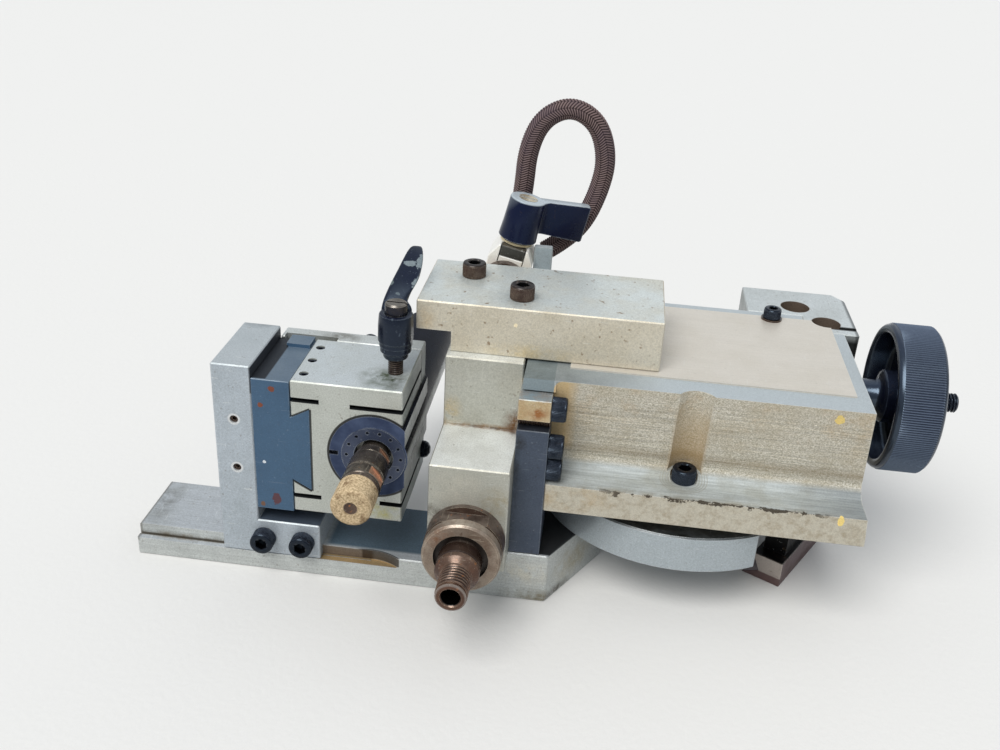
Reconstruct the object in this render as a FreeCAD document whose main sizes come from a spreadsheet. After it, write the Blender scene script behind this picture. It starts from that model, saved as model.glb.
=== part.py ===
import FreeCAD, Part
import math
import os
import Sketcher
from FreeCAD import Placement, Rotation, Vector

# Air driven valve seat grinder.
# Lengths are millimetres, +Z is up, +X runs along the base bar and +Y away from the grinding stone.
# Sizes are given from the front left lower corner of the base bar, and the pieces are
# placed about the middle of the machine's footprint.

sizes = {
    # fits
    "slide_gap": 0.06,
    "fit_gap": 0.02,
    "run_gap": 0.05,
    "screw_gap": 0.3,
    "edge_break": 0.6,
    # base bar
    "bar_length": 233.7,
    "bar_width": 50,
    "bar_height": 17.3,
    "end_angle": 60,
    "raised_start": 200,
    "raised_top": 30.7,
    "ledge_top": 11,
    "ledge_depth": 5.1,
    "ledge_length": 135,
    "ledge_cutter": 27.6,
    "groove_size": 1.2,
    # swivel disc, its pin and its foot
    "disc_x": 303.5,
    "disc_y": 83.7,
    "disc_radius": 82.6,
    "disc_thickness": 21.9,
    "pivot_radius": 12,
    "pivot_reach": 19,
    "foot_x": 366.6,
    "foot_y": 38.8,
    "foot_length": 62,
    "foot_width": 23.4,
    "foot_waist": 13.4,
    "foot_waist_height": 5.5,
    "foot_top_width": 18.5,
    "foot_height": 16,
    "riser_start": 9,
    "riser_length": 32,
    "foot_screw_first": 20,
    "foot_screw_second": 32,
    "foot_screw_side": 7.5,
    "base_screw_first": 238,
    "base_screw_second": 251,
    "base_screw_y": 42,
    # housing casting
    "housing_x": 229,
    "housing_length": 160,
    "housing_front": 10.5,
    "housing_depth": 118.5,
    "housing_top": 132.6,
    "flange_bottom": 59.5,
    "flange_top": 76.2,
    "flange_front": 1,
    "face_lean": 13.7,
    "cove_radius": 7,
    "end_draft": 7.4,
    "boss_radius": 72,
    "relief_radius": 10,
    "relief_depth": 5,
    "clamp_x": 301.6,
    "clamp_y": 20.4,
    "spot_radius": 7.4,
    "spot_height": 9,
    "shelf_gap": 1.2,
    "shelf_lift": 1,
    "hub_spot": 7,
    "screw_room": 14,
    # label plate
    "plate_x": 236,
    "plate_length": 146.4,
    "plate_front": 26,
    "plate_depth": 95,
    "plate_thickness": 0.9,
    "plate_screw_x": 348.7,
    "plate_screw_y": 117.5,
    "washer_thickness": 1,
    # rear clamp block
    "rear_x": 336,
    "rear_length": 62,
    "rear_back": 168,
    "rear_height": 47.6,
    "wing_x": 368,
    "wing_front": 106.6,
    "rear_chamfer_x": 6.6,
    "rear_chamfer_y": 9.4,
    "plain_bore_x": 365.6,
    "plain_bore_y": 142.2,
    "plain_bore_radius": 8.5,
    "split_bore_x": 381,
    "split_bore_y": 121,
    "split_bore_radius": 8.3,
    "split_width": 3,
    "split_offset": 7.5,
    "rear_bolt_x": 345.5,
    "rear_bolt_low": 96,
    "rear_bolt_high": 113,
    # feed drive
    "feed_y": 70,
    "feed_z": 114,
    "feed_screw_radius": 5,
    "journal_radius": 6,
    "bush_radius": 12,
    "bush_length": 17,
    "feed_screw_end": 176,
    "hub_radius": 8.6,
    "hub_length": 15.6,
    "hub_gap": 0.3,
    "wheel_radius": 40.6,
    "wheel_width": 25.5,
    "wheel_rim": 5.8,
    "wheel_pocket": 14,
    "wheel_boss": 14.5,
    "stud_radius": 5.3,
    "stud_length": 16.5,
    # arm and top bar
    "arm_x": 170.3,
    "arm_width": 41.7,
    "arm_front": -19,
    "arm_shelf": 43.5,
    "arm_back": 92,
    "arm_lift": 0.7,
    "arm_shelf_top": 93,
    "arm_foot_length": 66,
    "arm_slope_top": 79,
    "top_bar_x": 153.2,
    "top_bar_length": 128.8,
    "top_bar_front": 30.6,
    "top_bar_thickness": 27.6,
    "top_bar_lift": 0.1,
    "notch_length": 18.8,
    "notch_height": 11.4,
    "top_screw_left": 177.5,
    "top_screw_left_y": 71.5,
    "top_screw_right": 206.8,
    "top_screw_right_y": 46,
    "top_screw_reach": 12,
    "strip_front": 0.5,
    "strip_back": 44,
    "strip_lift": 0.5,
    "strip_top": 107.5,
    "strip_gap": 0.1,
    "side_block_front": 1,
    "side_block_bottom": 113,
    "side_block_top": 125,
    "side_screw_y": 7,
    "side_screw_low": 83,
    "side_screw_mid": 96.1,
    "side_screw_high": 118.2,
    "side_screw_margin": 2.9,
    "stop_stud_radius": 2.6,
    "stop_stud_y": 7.5,
    "feed_nut_radius": 11,
    "feed_nut_length": 22,
    "guide_rod_radius": 6,
    "guide_rod_z": 86,
    "guide_rod_front": 56,
    "guide_rod_back": 80,
    "guide_rod_length": 118,
    "guide_rod_depth": 30,
    # workhead nose
    "nose_z": 51,
    "nose_shaft_radius": 10,
    "nose_bearing_radius": 15,
    "nose_bearing_length": 10,
    "nose_bearing_gap": 36,
    "nose_nut_length": 6,
    "nose_collar_radius": 20.7,
    "nose_collar_length": 12,
    "nose_flat": 16.9,
    "nose_flange_radius": 20.4,
    "nose_flange_length": 7,
    "nose_recess_radius": 14.2,
    "nose_recess_depth": 3,
    "nipple_collar_radius": 11.4,
    "nipple_collar_length": 9,
    "nipple_radius": 8.1,
    "nipple_length": 22,
    "nipple_bore": 4.7,
    "thread_groove": 0.7,
    # carriage
    "bracket_x": 51.2,
    "bracket_thickness": 21.1,
    "bracket_foot": 55.8,
    "bracket_foot_rise": 15.7,
    "bracket_top": 127.8,
    "bracket_depth": 53,
    "bracket_screw_left": 24.4,
    "bracket_screw_right": 46.4,
    "bracket_screw_rise": 4.7,
    "set_screw_inset": 11,
    "set_screw_low": 65.9,
    "set_screw_high": 95.7,
    "set_screw_radius": 2.25,
    "set_screw_length": 8,
    "clamp_bar_inset": 14.8,
    "clamp_bar_depth": 9,
    "clamp_bar_bottom": 6,
    "slide_bottom": 41,
    "slide_height": 80,
    "slide_thickness": 20.5,
    "slide_front": 0.4,
    "slide_length": 51.6,
    "tail_depth": 10.5,
    "tail_root": 38.6,
    "tail_low": 20.8,
    "tail_flare": 5.8,
    "slide_screw_front": 14,
    "slide_screw_back": 39,
    "slide_step": 2.4,
    # grinding head
    "head_gap": 0.5,
    "block_bottom": 42.2,
    "block_width": 59.5,
    "block_height": 80,
    "block_front": 0.2,
    "block_depth": 51.8,
    "spindle_inset": 44.3,
    "spindle_rise": 39.9,
    "sleeve_radius": 24,
    "sleeve_flat": 16.6,
    "motor_radius": 18.2,
    "motor_wall": 3.2,
    "motor_length": 156,
    "slit_width": 2.4,
    "slit_high": 11,
    "slit_high_right": 11.8,
    "slit_low": 10,
    "slit_low_right": 10.8,
    "slit_left_length": 15.2,
    "slit_right_high": 27.8,
    "slit_right_low": 12,
    "gib_screw_inset": 4.9,
    "gib_screw_y": 9.5,
    "gib_screw_pitch": 16.1,
    "gib_screw_radius": 2.5,
    "rear_plate_inset": 0.3,
    "rear_plate_depth": 11.8,
    "rear_slot_length": 30,
    "rear_slot_depth": 4.5,
    "plate_bolt_inset": 26.7,
    "plate_bolt_edge": 6.8,
    "dome_y": 58,
    "dome_rise": 12.6,
    "dome_radius": 5,
    "pin_nut_radius": 17.3,
    "pin_nut_bore": 10.6,
    "pin_nut_depth": 6,
    "pin_nut_proud": 0.6,
    "pin_hole_circle": 14.6,
    "pin_hole_radius": 0.9,
    "bearing_length": 10,
    "rear_bearing_y": 80,
    "shaft_radius": 8,
    "spindle_nose_radius": 9.4,
    "spindle_nose_end": -9,
    "collet_radius": 10.3,
    "collet_length": 22,
    "collet_flat": 9.1,
    "collet_flat_length": 7,
    "stone_radius": 10.5,
    "stone_length": 15.5,
    "stone_collar": 3,
    "arbor_radius": 3.5,
    # clamp lever
    "lever_inset": 51.1,
    "lever_y": 21.9,
    "lever_stud_radius": 4,
    "lever_stud_floor": 0.9,
    "lever_neck_radius": 6.4,
    "lever_neck_rise": 9,
    "lever_ring_radius": 9.8,
    "lever_flare": 8,
    "lever_ring_height": 5.1,
    "lever_hub_radius": 8,
    "lever_hub_height": 12.1,
    "lever_screw_radius": 5.8,
    "lever_screw_height": 6,
    "handle_width": 10.6,
    "handle_lean": 1.2,
    "handle_reach": 36,
    "handle_rise": 21,
    # air valve and hose fittings
    "valve_x": 191.3,
    "valve_front": 99,
    "valve_length": 26,
    "valve_half": 13,
    "valve_low": 12,
    "valve_shoulder": 14,
    "valve_crown": 8.5,
    "valve_top": 22,
    "valve_window": 15,
    "valve_window_low": 11.5,
    "valve_window_depth": 6.5,
    "valve_tilt": 12,
    "valve_neck_radius": 6.6,
    "valve_collar_radius": 13.8,
    "valve_collar_length": 5,
    "stem_radius": 5.8,
    "stem_top": 24.3,
    "valve_hub_radius": 10.3,
    "valve_hub_top": 46.6,
    "valve_handle_reach": 36,
    "valve_handle_low": 26.8,
    "valve_handle_turn": 12,
    "valve_handle_thickness": 7,
    "valve_handle_offset": 2.8,
    "valve_screw_radius": 5.5,
    "valve_screw_height": 2.4,
    "elbow_radius": 9.5,
    "ferrule_radius": 8,
    "ferrule_end": 22,
    "hose_tilt": 6,
    "hose_block_x": 207,
    "hose_block_width": 10.6,
    "hose_block_depth": 20,
    "hose_block_bottom": 136,
    "hose_block_top": 168,
    "hose_elbow_x": 212.9,
    "hose_elbow_z": 157,
    "hose_elbow_radius": 5.7,
    "hose_elbow_reach": 20,
    "hose_ferrule_radius": 6.3,
    "hose_ferrule_end": 6,
    "hose_end_tilt": 46.5,
    "hose_radius": 5.9,
    # socket head cap screws: shank and head radius, head height
    "small_shank": 3,
    "small_head": 5,
    "small_head_height": 6,
    "medium_shank": 4,
    "medium_head": 6.5,
    "medium_head_height": 8,
    "large_shank": 4.95,
    "large_head": 8,
    "large_head_height": 10,
    "socket_share": 0.46,
}

doc = FreeCAD.newDocument("seat_grinder")
dims = doc.addObject("Spreadsheet::Sheet", "dims")
for row, (name, number) in enumerate(sizes.items(), start=1):
    dims.set(f"A{row}", name)
    dims.set(f"B{row}", str(number))
    dims.setAlias(f"B{row}", name)
doc.recompute()


class Size:
    """A length of the sheet, or one worked out from such lengths, with its expression."""

    def __init__(self, value, text):
        self.value = value
        self.text = text

    def _with(self, sign, other, swap=False):
        other = as_size(other)
        first, second = (other, self) if swap else (self, other)
        text = f"({first.text} {sign} {second.text})"
        if sign == "+":
            return Size(first.value + second.value, text)
        if sign == "-":
            return Size(first.value - second.value, text)
        if sign == "*":
            return Size(first.value * second.value, text)
        return Size(first.value / second.value, text)

    def __add__(self, other):
        return self._with("+", other)

    def __radd__(self, other):
        return self._with("+", other, True)

    def __sub__(self, other):
        return self._with("-", other)

    def __rsub__(self, other):
        return self._with("-", other, True)

    def __mul__(self, other):
        return self._with("*", other)

    def __rmul__(self, other):
        return self._with("*", other, True)

    def __truediv__(self, other):
        return self._with("/", other)

    def __neg__(self):
        return self._with("*", -1)


def as_size(item):
    return item if isinstance(item, Size) else Size(float(item), f"({item})")


def sine(angle):
    return Size(math.sin(math.radians(angle.value)), f"sin({angle.text} * 1 deg)")


def cosine(angle):
    return Size(math.cos(math.radians(angle.value)), f"cos({angle.text} * 1 deg)")


class Sheet:
    """Reads a named size from the sheet."""

    def __getattr__(self, name):
        return Size(float(dims.get(name)), f"dims.{name}")


d = Sheet()

# Places that several pieces share
disc_top = d.raised_top + d.disc_thickness
housing_end = d.housing_x + d.housing_length
housing_back = d.housing_front + d.housing_depth
top_bar_bottom = d.housing_top + d.plate_thickness + d.top_bar_lift
top_bar_top = top_bar_bottom + d.top_bar_thickness
arm_end = d.arm_x + d.arm_width
bracket_face = d.bracket_x + d.bracket_thickness
block_x = bracket_face + d.slide_thickness + d.head_gap
block_end = block_x + d.block_width
block_top = d.block_bottom + d.block_height
block_back = d.block_front + d.block_depth
spindle_x = block_x + d.spindle_inset
spindle_z = d.block_bottom + d.spindle_rise
slit_high = block_top - d.slit_high
lever_x = block_x + d.lever_inset
lever_stud_end = spindle_z + d.sleeve_radius + d.lever_stud_floor
lever_neck_bottom = block_top + d.lever_neck_rise
lever_ring_bottom = lever_neck_bottom + d.lever_flare
lever_ring_top = lever_ring_bottom + d.lever_ring_height
lever_hub_top = lever_ring_top + d.lever_hub_height
arm_bottom = d.raised_top + d.arm_lift
bracket_foot_top = d.bar_height + d.bracket_foot_rise
nose_x = d.arm_x + d.arm_width / 2
collar_face = d.arm_front - d.nose_collar_length - d.slide_gap
flange_face = collar_face - d.nose_flange_length
nipple_face = flange_face - d.nipple_collar_length
nose_tip = nipple_face - d.nipple_length
wheel_x = housing_end + d.hub_gap + d.hub_length
wheel_end = wheel_x + d.wheel_width
stud_end = wheel_end + d.stud_length
valve_z = top_bar_bottom + d.top_bar_thickness / 2
valve_y = d.valve_front + d.valve_length / 2
valve_back = d.valve_front + d.valve_length
plain_edge = d.edge_break

# Middle of the footprint
origin_x = stud_end / 2
origin_y = (nose_tip + d.rear_back) / 2

turns = {
    "+z": Rotation(),
    "-z": Rotation(Vector(1, 0, 0), 180),
    "+x": Rotation(Vector(0, 1, 0), 90),
    "-x": Rotation(Vector(0, 1, 0), -90),
    "+y": Rotation(Vector(1, 0, 0), -90),
    "-y": Rotation(Vector(1, 0, 0), 90),
}
nodes = []


def bind(thing, field, size):
    thing.setExpression(field, as_size(size).text)


def place(thing, point, turn=None):
    x, y, z = point
    spot = (x - origin_x, y - origin_y, as_size(z))
    thing.Placement = Placement(Vector(*[s.value for s in spot]), turn or Rotation())
    for letter, size in zip("xyz", spot):
        bind(thing, f"Placement.Base.{letter}", size)
    return thing


def along(point, axis, distance):
    place_of = "xyz".index(axis[1])
    moved = list(point)
    moved[place_of] = moved[place_of] + (distance if axis[0] == "+" else -as_size(distance))
    return tuple(moved)


def node(label, thing):
    thing.Label = label
    nodes.append(thing)
    return thing


def box(low, high):
    thing = doc.addObject("Part::Box", "box")
    for field, a, b in zip(("Length", "Width", "Height"), low, high):
        bind(thing, field, as_size(b) - a)
    return place(thing, low)


def rod(point, axis, radius, length):
    thing = doc.addObject("Part::Cylinder", "rod")
    bind(thing, "Radius", radius)
    bind(thing, "Height", length)
    return place(thing, point, turns[axis])


def taper(point, axis, first, second, length):
    thing = doc.addObject("Part::Cone", "taper")
    bind(thing, "Radius1", first)
    bind(thing, "Radius2", second)
    bind(thing, "Height", length)
    return place(thing, point, turns[axis])


def six_sided(point, turn, circle, length):
    thing = doc.addObject("Part::Prism", "six_sided")
    thing.Polygon = 6
    bind(thing, "Circumradius", circle)
    bind(thing, "Height", length)
    return place(thing, point, turn)


def fuse(pieces):
    if len(pieces) == 1:
        return pieces[0]
    thing = doc.addObject("Part::MultiFuse", "fuse")
    thing.Shapes = pieces
    thing.Refine = True
    return thing


def cut(base, tools):
    thing = doc.addObject("Part::Cut", "cut")
    thing.Base = base
    thing.Tool = fuse(tools)
    thing.Refine = True
    return thing


def common(first, second):
    thing = doc.addObject("Part::Common", "common")
    thing.Base = first
    thing.Tool = second
    return thing


def group(pieces):
    thing = doc.addObject("Part::Compound", "group")
    thing.Links = pieces
    return thing


def turned(point, axis, steps):
    """A turned piece: (length, radius) or (length, first radius, last radius) steps along an axis."""
    pieces = []
    for length, first, *last in steps:
        if last:
            pieces.append(taper(point, axis, first, last[0], length))
        else:
            pieces.append(rod(point, axis, first, length))
        point = along(point, axis, length)
    return fuse(pieces)


def sketch_on(body, role, corners):
    sketch = body.newObject("Sketcher::SketchObject", "outline")
    plane = next(item for item in body.Origin.OriginFeatures if item.Role == role)
    sketch.AttachmentSupport = (plane, [""])
    sketch.MapMode = "FlatFace"
    corners = [(as_size(a), as_size(b)) for a, b in corners]
    points = [Vector(a.value, b.value, 0) for a, b in corners]
    count = len(points)
    for i in range(count):
        sketch.addGeometry(Part.LineSegment(points[i], points[(i + 1) % count]), False)
    for i in range(count):
        sketch.addConstraint(Sketcher.Constraint("Coincident", i, 2, (i + 1) % count, 1))
    for i, corner in enumerate(corners):
        for kind, axis_line, size in (("DistanceX", -2, corner[0]), ("DistanceY", -1, corner[1])):
            if abs(size.value) < 1e-9:
                sketch.addConstraint(Sketcher.Constraint("PointOnObject", i, 1, axis_line))
                continue
            index = sketch.addConstraint(Sketcher.Constraint(kind, -1, 1, i, 1, size.value))
            sketch.setExpression(f"Constraints[{index}]", size.text)
    return sketch


def pad_on(body, role, corners, length):
    pad = body.newObject("PartDesign::Pad", "pad")
    pad.Profile = sketch_on(body, role, corners)
    bind(pad, "Length", length)
    pad.Reversed = role == "XZ_Plane"
    return pad


def outer_edges(shape):
    """Names of the straight outward edges of a solid with flat faces."""
    names = []
    for number, edge in enumerate(shape.Edges, start=1):
        sides = [face for face in shape.Faces if any(edge.isSame(item) for item in face.Edges)]
        middle = edge.CenterOfMass
        first, second = sides
        if second.normalAt(0, 0).dot(first.CenterOfMass - middle) < -1e-6:
            names.append(f"Edge{number}")
    return names


def break_edges(body, feature, size):
    doc.recompute()
    chamfer = body.newObject("PartDesign::Chamfer", "edge_break")
    chamfer.Base = (feature, outer_edges(feature.Shape))
    bind(chamfer, "Size", size)
    body.Tip = chamfer


def prism(role, corners, length, point, turn=None, edge=None):
    """A solid drawn on one of its own planes, with broken outer edges if a size is given."""
    body = doc.addObject("PartDesign::Body", "solid")
    pad = pad_on(body, role, corners, length)
    if edge is not None:
        break_edges(body, pad, edge)
    return place(body, point, turn)


def block(low, high, edge):
    length, width, height = [as_size(b) - a for a, b in zip(low, high)]
    corners = [(0, 0), (length, 0), (length, width), (0, width)]
    return prism("XY_Plane", corners, height, low, edge=edge)


def cap_screw(seat, axis, kind, length):
    """A socket head cap screw whose head stands out along the axis from its seat."""
    shank = getattr(d, f"{kind}_shank")
    head = getattr(d, f"{kind}_head")
    height = getattr(d, f"{kind}_head_height")
    rim = 0.08 * height
    tip = along(seat, axis, -as_size(length))
    screw = turned(tip, axis, [(length, shank), (height - rim, head), (rim, head, head - rim)])
    depth = height * 0.55
    mouth = along(seat, axis, height - depth)
    socket = six_sided(mouth, turns[axis], d.socket_share * head * 1.1547, depth + 1)
    return cut(screw, [socket])


def base_bar():
    run = d.bar_width * cosine(d.end_angle) / sine(d.end_angle)
    bar = doc.addObject("PartDesign::Body", "bar")
    plan = [(0, 0), (d.bar_length, 0), (d.bar_length + run, d.bar_width), (0, d.bar_width)]
    pad_on(bar, "XY_Plane", plan, d.bar_height)
    raised = [(d.raised_start, 0), plan[1], plan[2], (d.raised_start, d.bar_width)]
    break_edges(bar, pad_on(bar, "XY_Plane", raised, d.raised_top), plain_edge)
    place(bar, (0, 0, 0))
    over = d.bar_height + 1
    groove_y = d.ledge_depth - d.groove_size
    tools = [
        box((-1, -1, d.ledge_top), (d.ledge_length, d.ledge_depth, over)),
        rod((d.ledge_length, d.ledge_depth - d.ledge_cutter, d.ledge_top), "+z", d.ledge_cutter, 20),
        box((-1, groove_y, d.ledge_top - d.groove_size), (d.ledge_length, d.ledge_depth, over)),
    ]
    for x in (d.base_screw_first, d.base_screw_second):
        spot = (x, d.base_screw_y, -1)
        tools.append(rod(spot, "+z", d.small_shank + d.screw_gap, d.raised_top + 2))
        tools.append(rod(spot, "+z", d.small_head + d.screw_gap, d.small_head_height + 1.5))
    node("base_bar", cut(bar, tools))


def foot_point(forward, side):
    c = cosine(d.end_angle)
    s = sine(d.end_angle)
    return d.foot_x + forward * c - side * s, d.foot_y + forward * s + side * c


def foot_screw_points():
    return [foot_point(forward, d.foot_screw_side) for forward in (d.foot_screw_first, d.foot_screw_second)]


def swivel_disc():
    rim = plain_edge * 2
    steps = [(rim, d.disc_radius - rim, d.disc_radius)]
    steps += [(d.disc_thickness - rim * 2, d.disc_radius), (rim, d.disc_radius, d.disc_radius - rim)]
    disc = turned((d.disc_x, d.disc_y, d.raised_top), "+z", steps)
    centre = (d.disc_x, d.disc_y, d.raised_top - 1)
    tools = [rod(centre, "+z", d.pivot_radius + d.fit_gap, d.disc_thickness + 2)]
    spots = [(x, d.base_screw_y) for x in (d.base_screw_first, d.base_screw_second)] + foot_screw_points()
    for x, y in spots:
        tools.append(rod((x, y, d.raised_top - 1), "+z", d.small_shank + d.run_gap, d.disc_thickness * 0.7))
    node("swivel_disc", cut(disc, tools))
    tip = 1.5
    pin = [(d.disc_thickness + d.pivot_reach - 2, d.pivot_radius), (tip, d.pivot_radius, d.pivot_radius - tip)]
    node("pivot_pin", turned((d.disc_x, d.disc_y, d.raised_top), "+z", pin))


def dovetail_foot():
    turn = Rotation(Vector(0, 0, 1), d.end_angle.value)
    section = [(0, 0), (d.foot_width, 0), (d.foot_waist, d.foot_waist_height)]
    section += [(d.foot_top_width, d.foot_height), (0, d.foot_height)]
    bar = prism("YZ_Plane", section, d.foot_length, (d.foot_x, d.foot_y, 0), turn, d.edge_break / 2)
    side = 2.5
    first = d.riser_start
    last = d.riser_start + d.riser_length
    far_side = d.foot_top_width - side
    plan = [(first, side), (last, side), (last, far_side), (first, far_side)]
    height = d.raised_top - d.foot_height
    riser = prism("XY_Plane", plan, height, (d.foot_x, d.foot_y, d.foot_height), turn)
    drill = []
    sink = []
    for x, y in foot_screw_points():
        drill.append(rod((x, y, -1), "+z", d.small_shank + d.screw_gap, d.raised_top + 2))
        sink.append(rod((x, y, -1), "+z", d.small_head + d.screw_gap, d.small_head_height + 1.5))
    node("foot_bar", cut(bar, drill + sink))
    node("foot_riser", cut(riser, drill))


def underside_screws():
    seat = d.small_head_height + 0.5
    reach = d.raised_top - seat + d.disc_thickness * 0.6
    spots = [(x, d.base_screw_y) for x in (d.base_screw_first, d.base_screw_second)] + foot_screw_points()
    node("underside_screws", group([cap_screw((x, y, seat), "-z", "small", reach) for x, y in spots]))


def housing_casting():
    left = d.housing_x
    right = housing_end + d.end_draft
    front = d.flange_front
    raw = block((left, front, d.flange_bottom), (right, housing_back, d.housing_top), plain_edge)
    boss = rod((d.disc_x, d.disc_y, disc_top + d.slide_gap), "+z", d.boss_radius,
               d.flange_bottom - disc_top - d.slide_gap + 1)
    long = d.housing_length + 30
    deep = d.housing_depth + 40
    above = d.housing_top + 2
    # side view of the leaning front face, with a cove above the flange
    lean = sine(d.face_lean) / cosine(d.face_lean)
    rise = d.housing_top - d.flange_top
    foot = d.housing_front + rise * lean
    tangent = d.cove_radius * (1 + sine(d.face_lean)) / cosine(d.face_lean)
    cove_y = foot - tangent
    face_y = foot - tangent * sine(d.face_lean)
    undercut = [(0, 0), (cove_y - front + 5, 0), (face_y - front + 5, tangent * cosine(d.face_lean))]
    undercut += [(d.housing_front - front + 5 - lean * 2, rise + 2), (0, rise + 2)]
    # front view of the slanted right end
    run = d.housing_top - d.flange_bottom
    end = [(d.end_draft, 0), (d.end_draft + 12, 0), (d.end_draft + 12, run + 3), (0, run + 3)]
    groove_y = foot - (d.relief_radius - d.relief_depth) / cosine(d.face_lean) - 3 * lean
    groove = rod((0, 0, 0), "+z", d.relief_radius, rise + 6)
    place(groove, (d.clamp_x, groove_y, d.flange_top + 3), Rotation(Vector(1, 0, 0), d.face_lean.value))
    tools = [
        prism("YZ_Plane", undercut, long, (left - 5, front - 5, d.flange_top)),
        rod((left - 5, cove_y, d.flange_top + d.cove_radius), "+x", d.cove_radius, long),
        prism("XZ_Plane", end, deep, (housing_end, front - 5, d.flange_bottom - 1)),
        rod((housing_end, d.feed_y, d.feed_z), "+x", d.hub_radius + d.hub_spot, 20),
        groove,
        rod((d.clamp_x, d.clamp_y, d.flange_top), "+z", d.spot_radius, d.spot_height),
        rod((d.clamp_x, d.clamp_y, disc_top - 1), "+z", d.medium_shank + d.screw_gap,
            d.flange_top - disc_top + 2),
        rod((d.disc_x, d.disc_y, disc_top - 1), "+z", d.pivot_radius + d.run_gap, d.pivot_reach + 2),
        rod((left - 1, d.feed_y, d.feed_z), "+x", d.screw_room, d.housing_length - d.bush_length),
        rod((left - 1, d.feed_y, d.feed_z), "+x", d.bush_radius + d.fit_gap - 3, long),
        rod((housing_end - d.bush_length, d.feed_y, d.feed_z), "+x", d.bush_radius + d.fit_gap, long),
        box((d.wing_x - d.screw_gap, d.wing_front - d.screw_gap, rear_bottom() - d.screw_gap),
            (right + 5, housing_back + 5, above)),
        rod((d.plate_screw_x, d.plate_screw_y, d.housing_top - 14), "+z", d.small_shank + d.run_gap, 20),
    ]
    for y in (d.guide_rod_front, d.guide_rod_back):
        depth = d.guide_rod_length - d.guide_rod_depth - (left - arm_end) + 4
        tools.append(rod((left - 1, y, d.guide_rod_z), "+x", d.guide_rod_radius + d.run_gap, depth))
    for z in (d.rear_bolt_low, d.rear_bolt_high):
        tools.append(rod((d.rear_bolt_x, housing_back - 26, z), "+y", d.medium_shank + d.run_gap, 40))
    shelf = box((arm_end + d.shelf_gap, d.housing_front, d.side_block_top + d.shelf_lift),
                (left + 1, d.arm_back, d.housing_top))
    node("housing_casting", fuse([cut(fuse([raw, boss]), tools), shelf]))


def rear_bottom():
    return d.housing_top - d.rear_height


def label_plate():
    low = (d.plate_x, d.plate_front, d.housing_top)
    top = d.housing_top + d.plate_thickness
    plate = box(low, (d.plate_x + d.plate_length, d.plate_front + d.plate_depth, top))
    hole = rod((d.plate_screw_x, d.plate_screw_y, d.housing_top - 1), "+z", d.small_shank + d.screw_gap, 5)
    bore = (d.split_bore_x, d.split_bore_y, d.housing_top - 1)
    relief = rod(bore, "+z", d.split_bore_radius + d.screw_gap, 5)
    node("label_plate", cut(plate, [hole, relief]))
    spot = (d.plate_screw_x, d.plate_screw_y, top)
    washer = rod(spot, "+z", d.small_head + 1, d.washer_thickness)
    node("label_washer", cut(washer, [rod(spot, "+z", d.small_shank + d.screw_gap, 5)]))
    seat = along(spot, "+z", d.washer_thickness)
    node("label_screw", cap_screw(seat, "+z", "small", 12 + d.plate_thickness))


def rear_clamp_block():
    x = d.rear_length
    y = d.rear_back - d.wing_front
    inner = housing_back + d.screw_gap - d.wing_front
    wing = d.wing_x - d.rear_x
    plan = [(0, inner), (wing, inner), (wing, 0), (x, 0), (x, y - d.rear_chamfer_y)]
    plan += [(x - d.rear_chamfer_x, y), (0, y)]
    bottom = rear_bottom()
    body = prism("XY_Plane", plan, d.rear_height, (d.rear_x, d.wing_front, bottom), edge=plain_edge)
    deep = d.rear_height + 2
    slit_y = d.split_bore_y - d.split_offset
    end = d.rear_x + d.rear_length + 1
    tools = [
        rod((d.plain_bore_x, d.plain_bore_y, bottom - 1), "+z", d.plain_bore_radius, deep),
        rod((d.split_bore_x, d.split_bore_y, bottom - 1), "+z", d.split_bore_radius, deep),
        box((d.split_bore_x, slit_y, bottom - 1), (end, slit_y + d.split_width, d.housing_top + 1)),
    ]
    seat_y = d.rear_back - d.medium_head_height - 0.5
    bolts = []
    for z in (d.rear_bolt_low, d.rear_bolt_high):
        spot = (d.rear_bolt_x, housing_back - 1, z)
        tools.append(rod(spot, "+y", d.medium_shank + d.screw_gap, 60))
        seat = (d.rear_bolt_x, seat_y, z)
        tools.append(rod(seat, "+y", d.medium_head + d.screw_gap, 20))
        bolts.append(cap_screw(seat, "+y", "medium", seat_y - housing_back + 22))
    node("rear_clamp_block", cut(body, tools))
    node("rear_bolts", group(bolts))


def flange_screw():
    seat = (d.clamp_x, d.clamp_y, d.flange_top)
    node("flange_screw", cap_screw(seat, "+z", "medium", d.flange_top - disc_top - 0.4))


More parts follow.
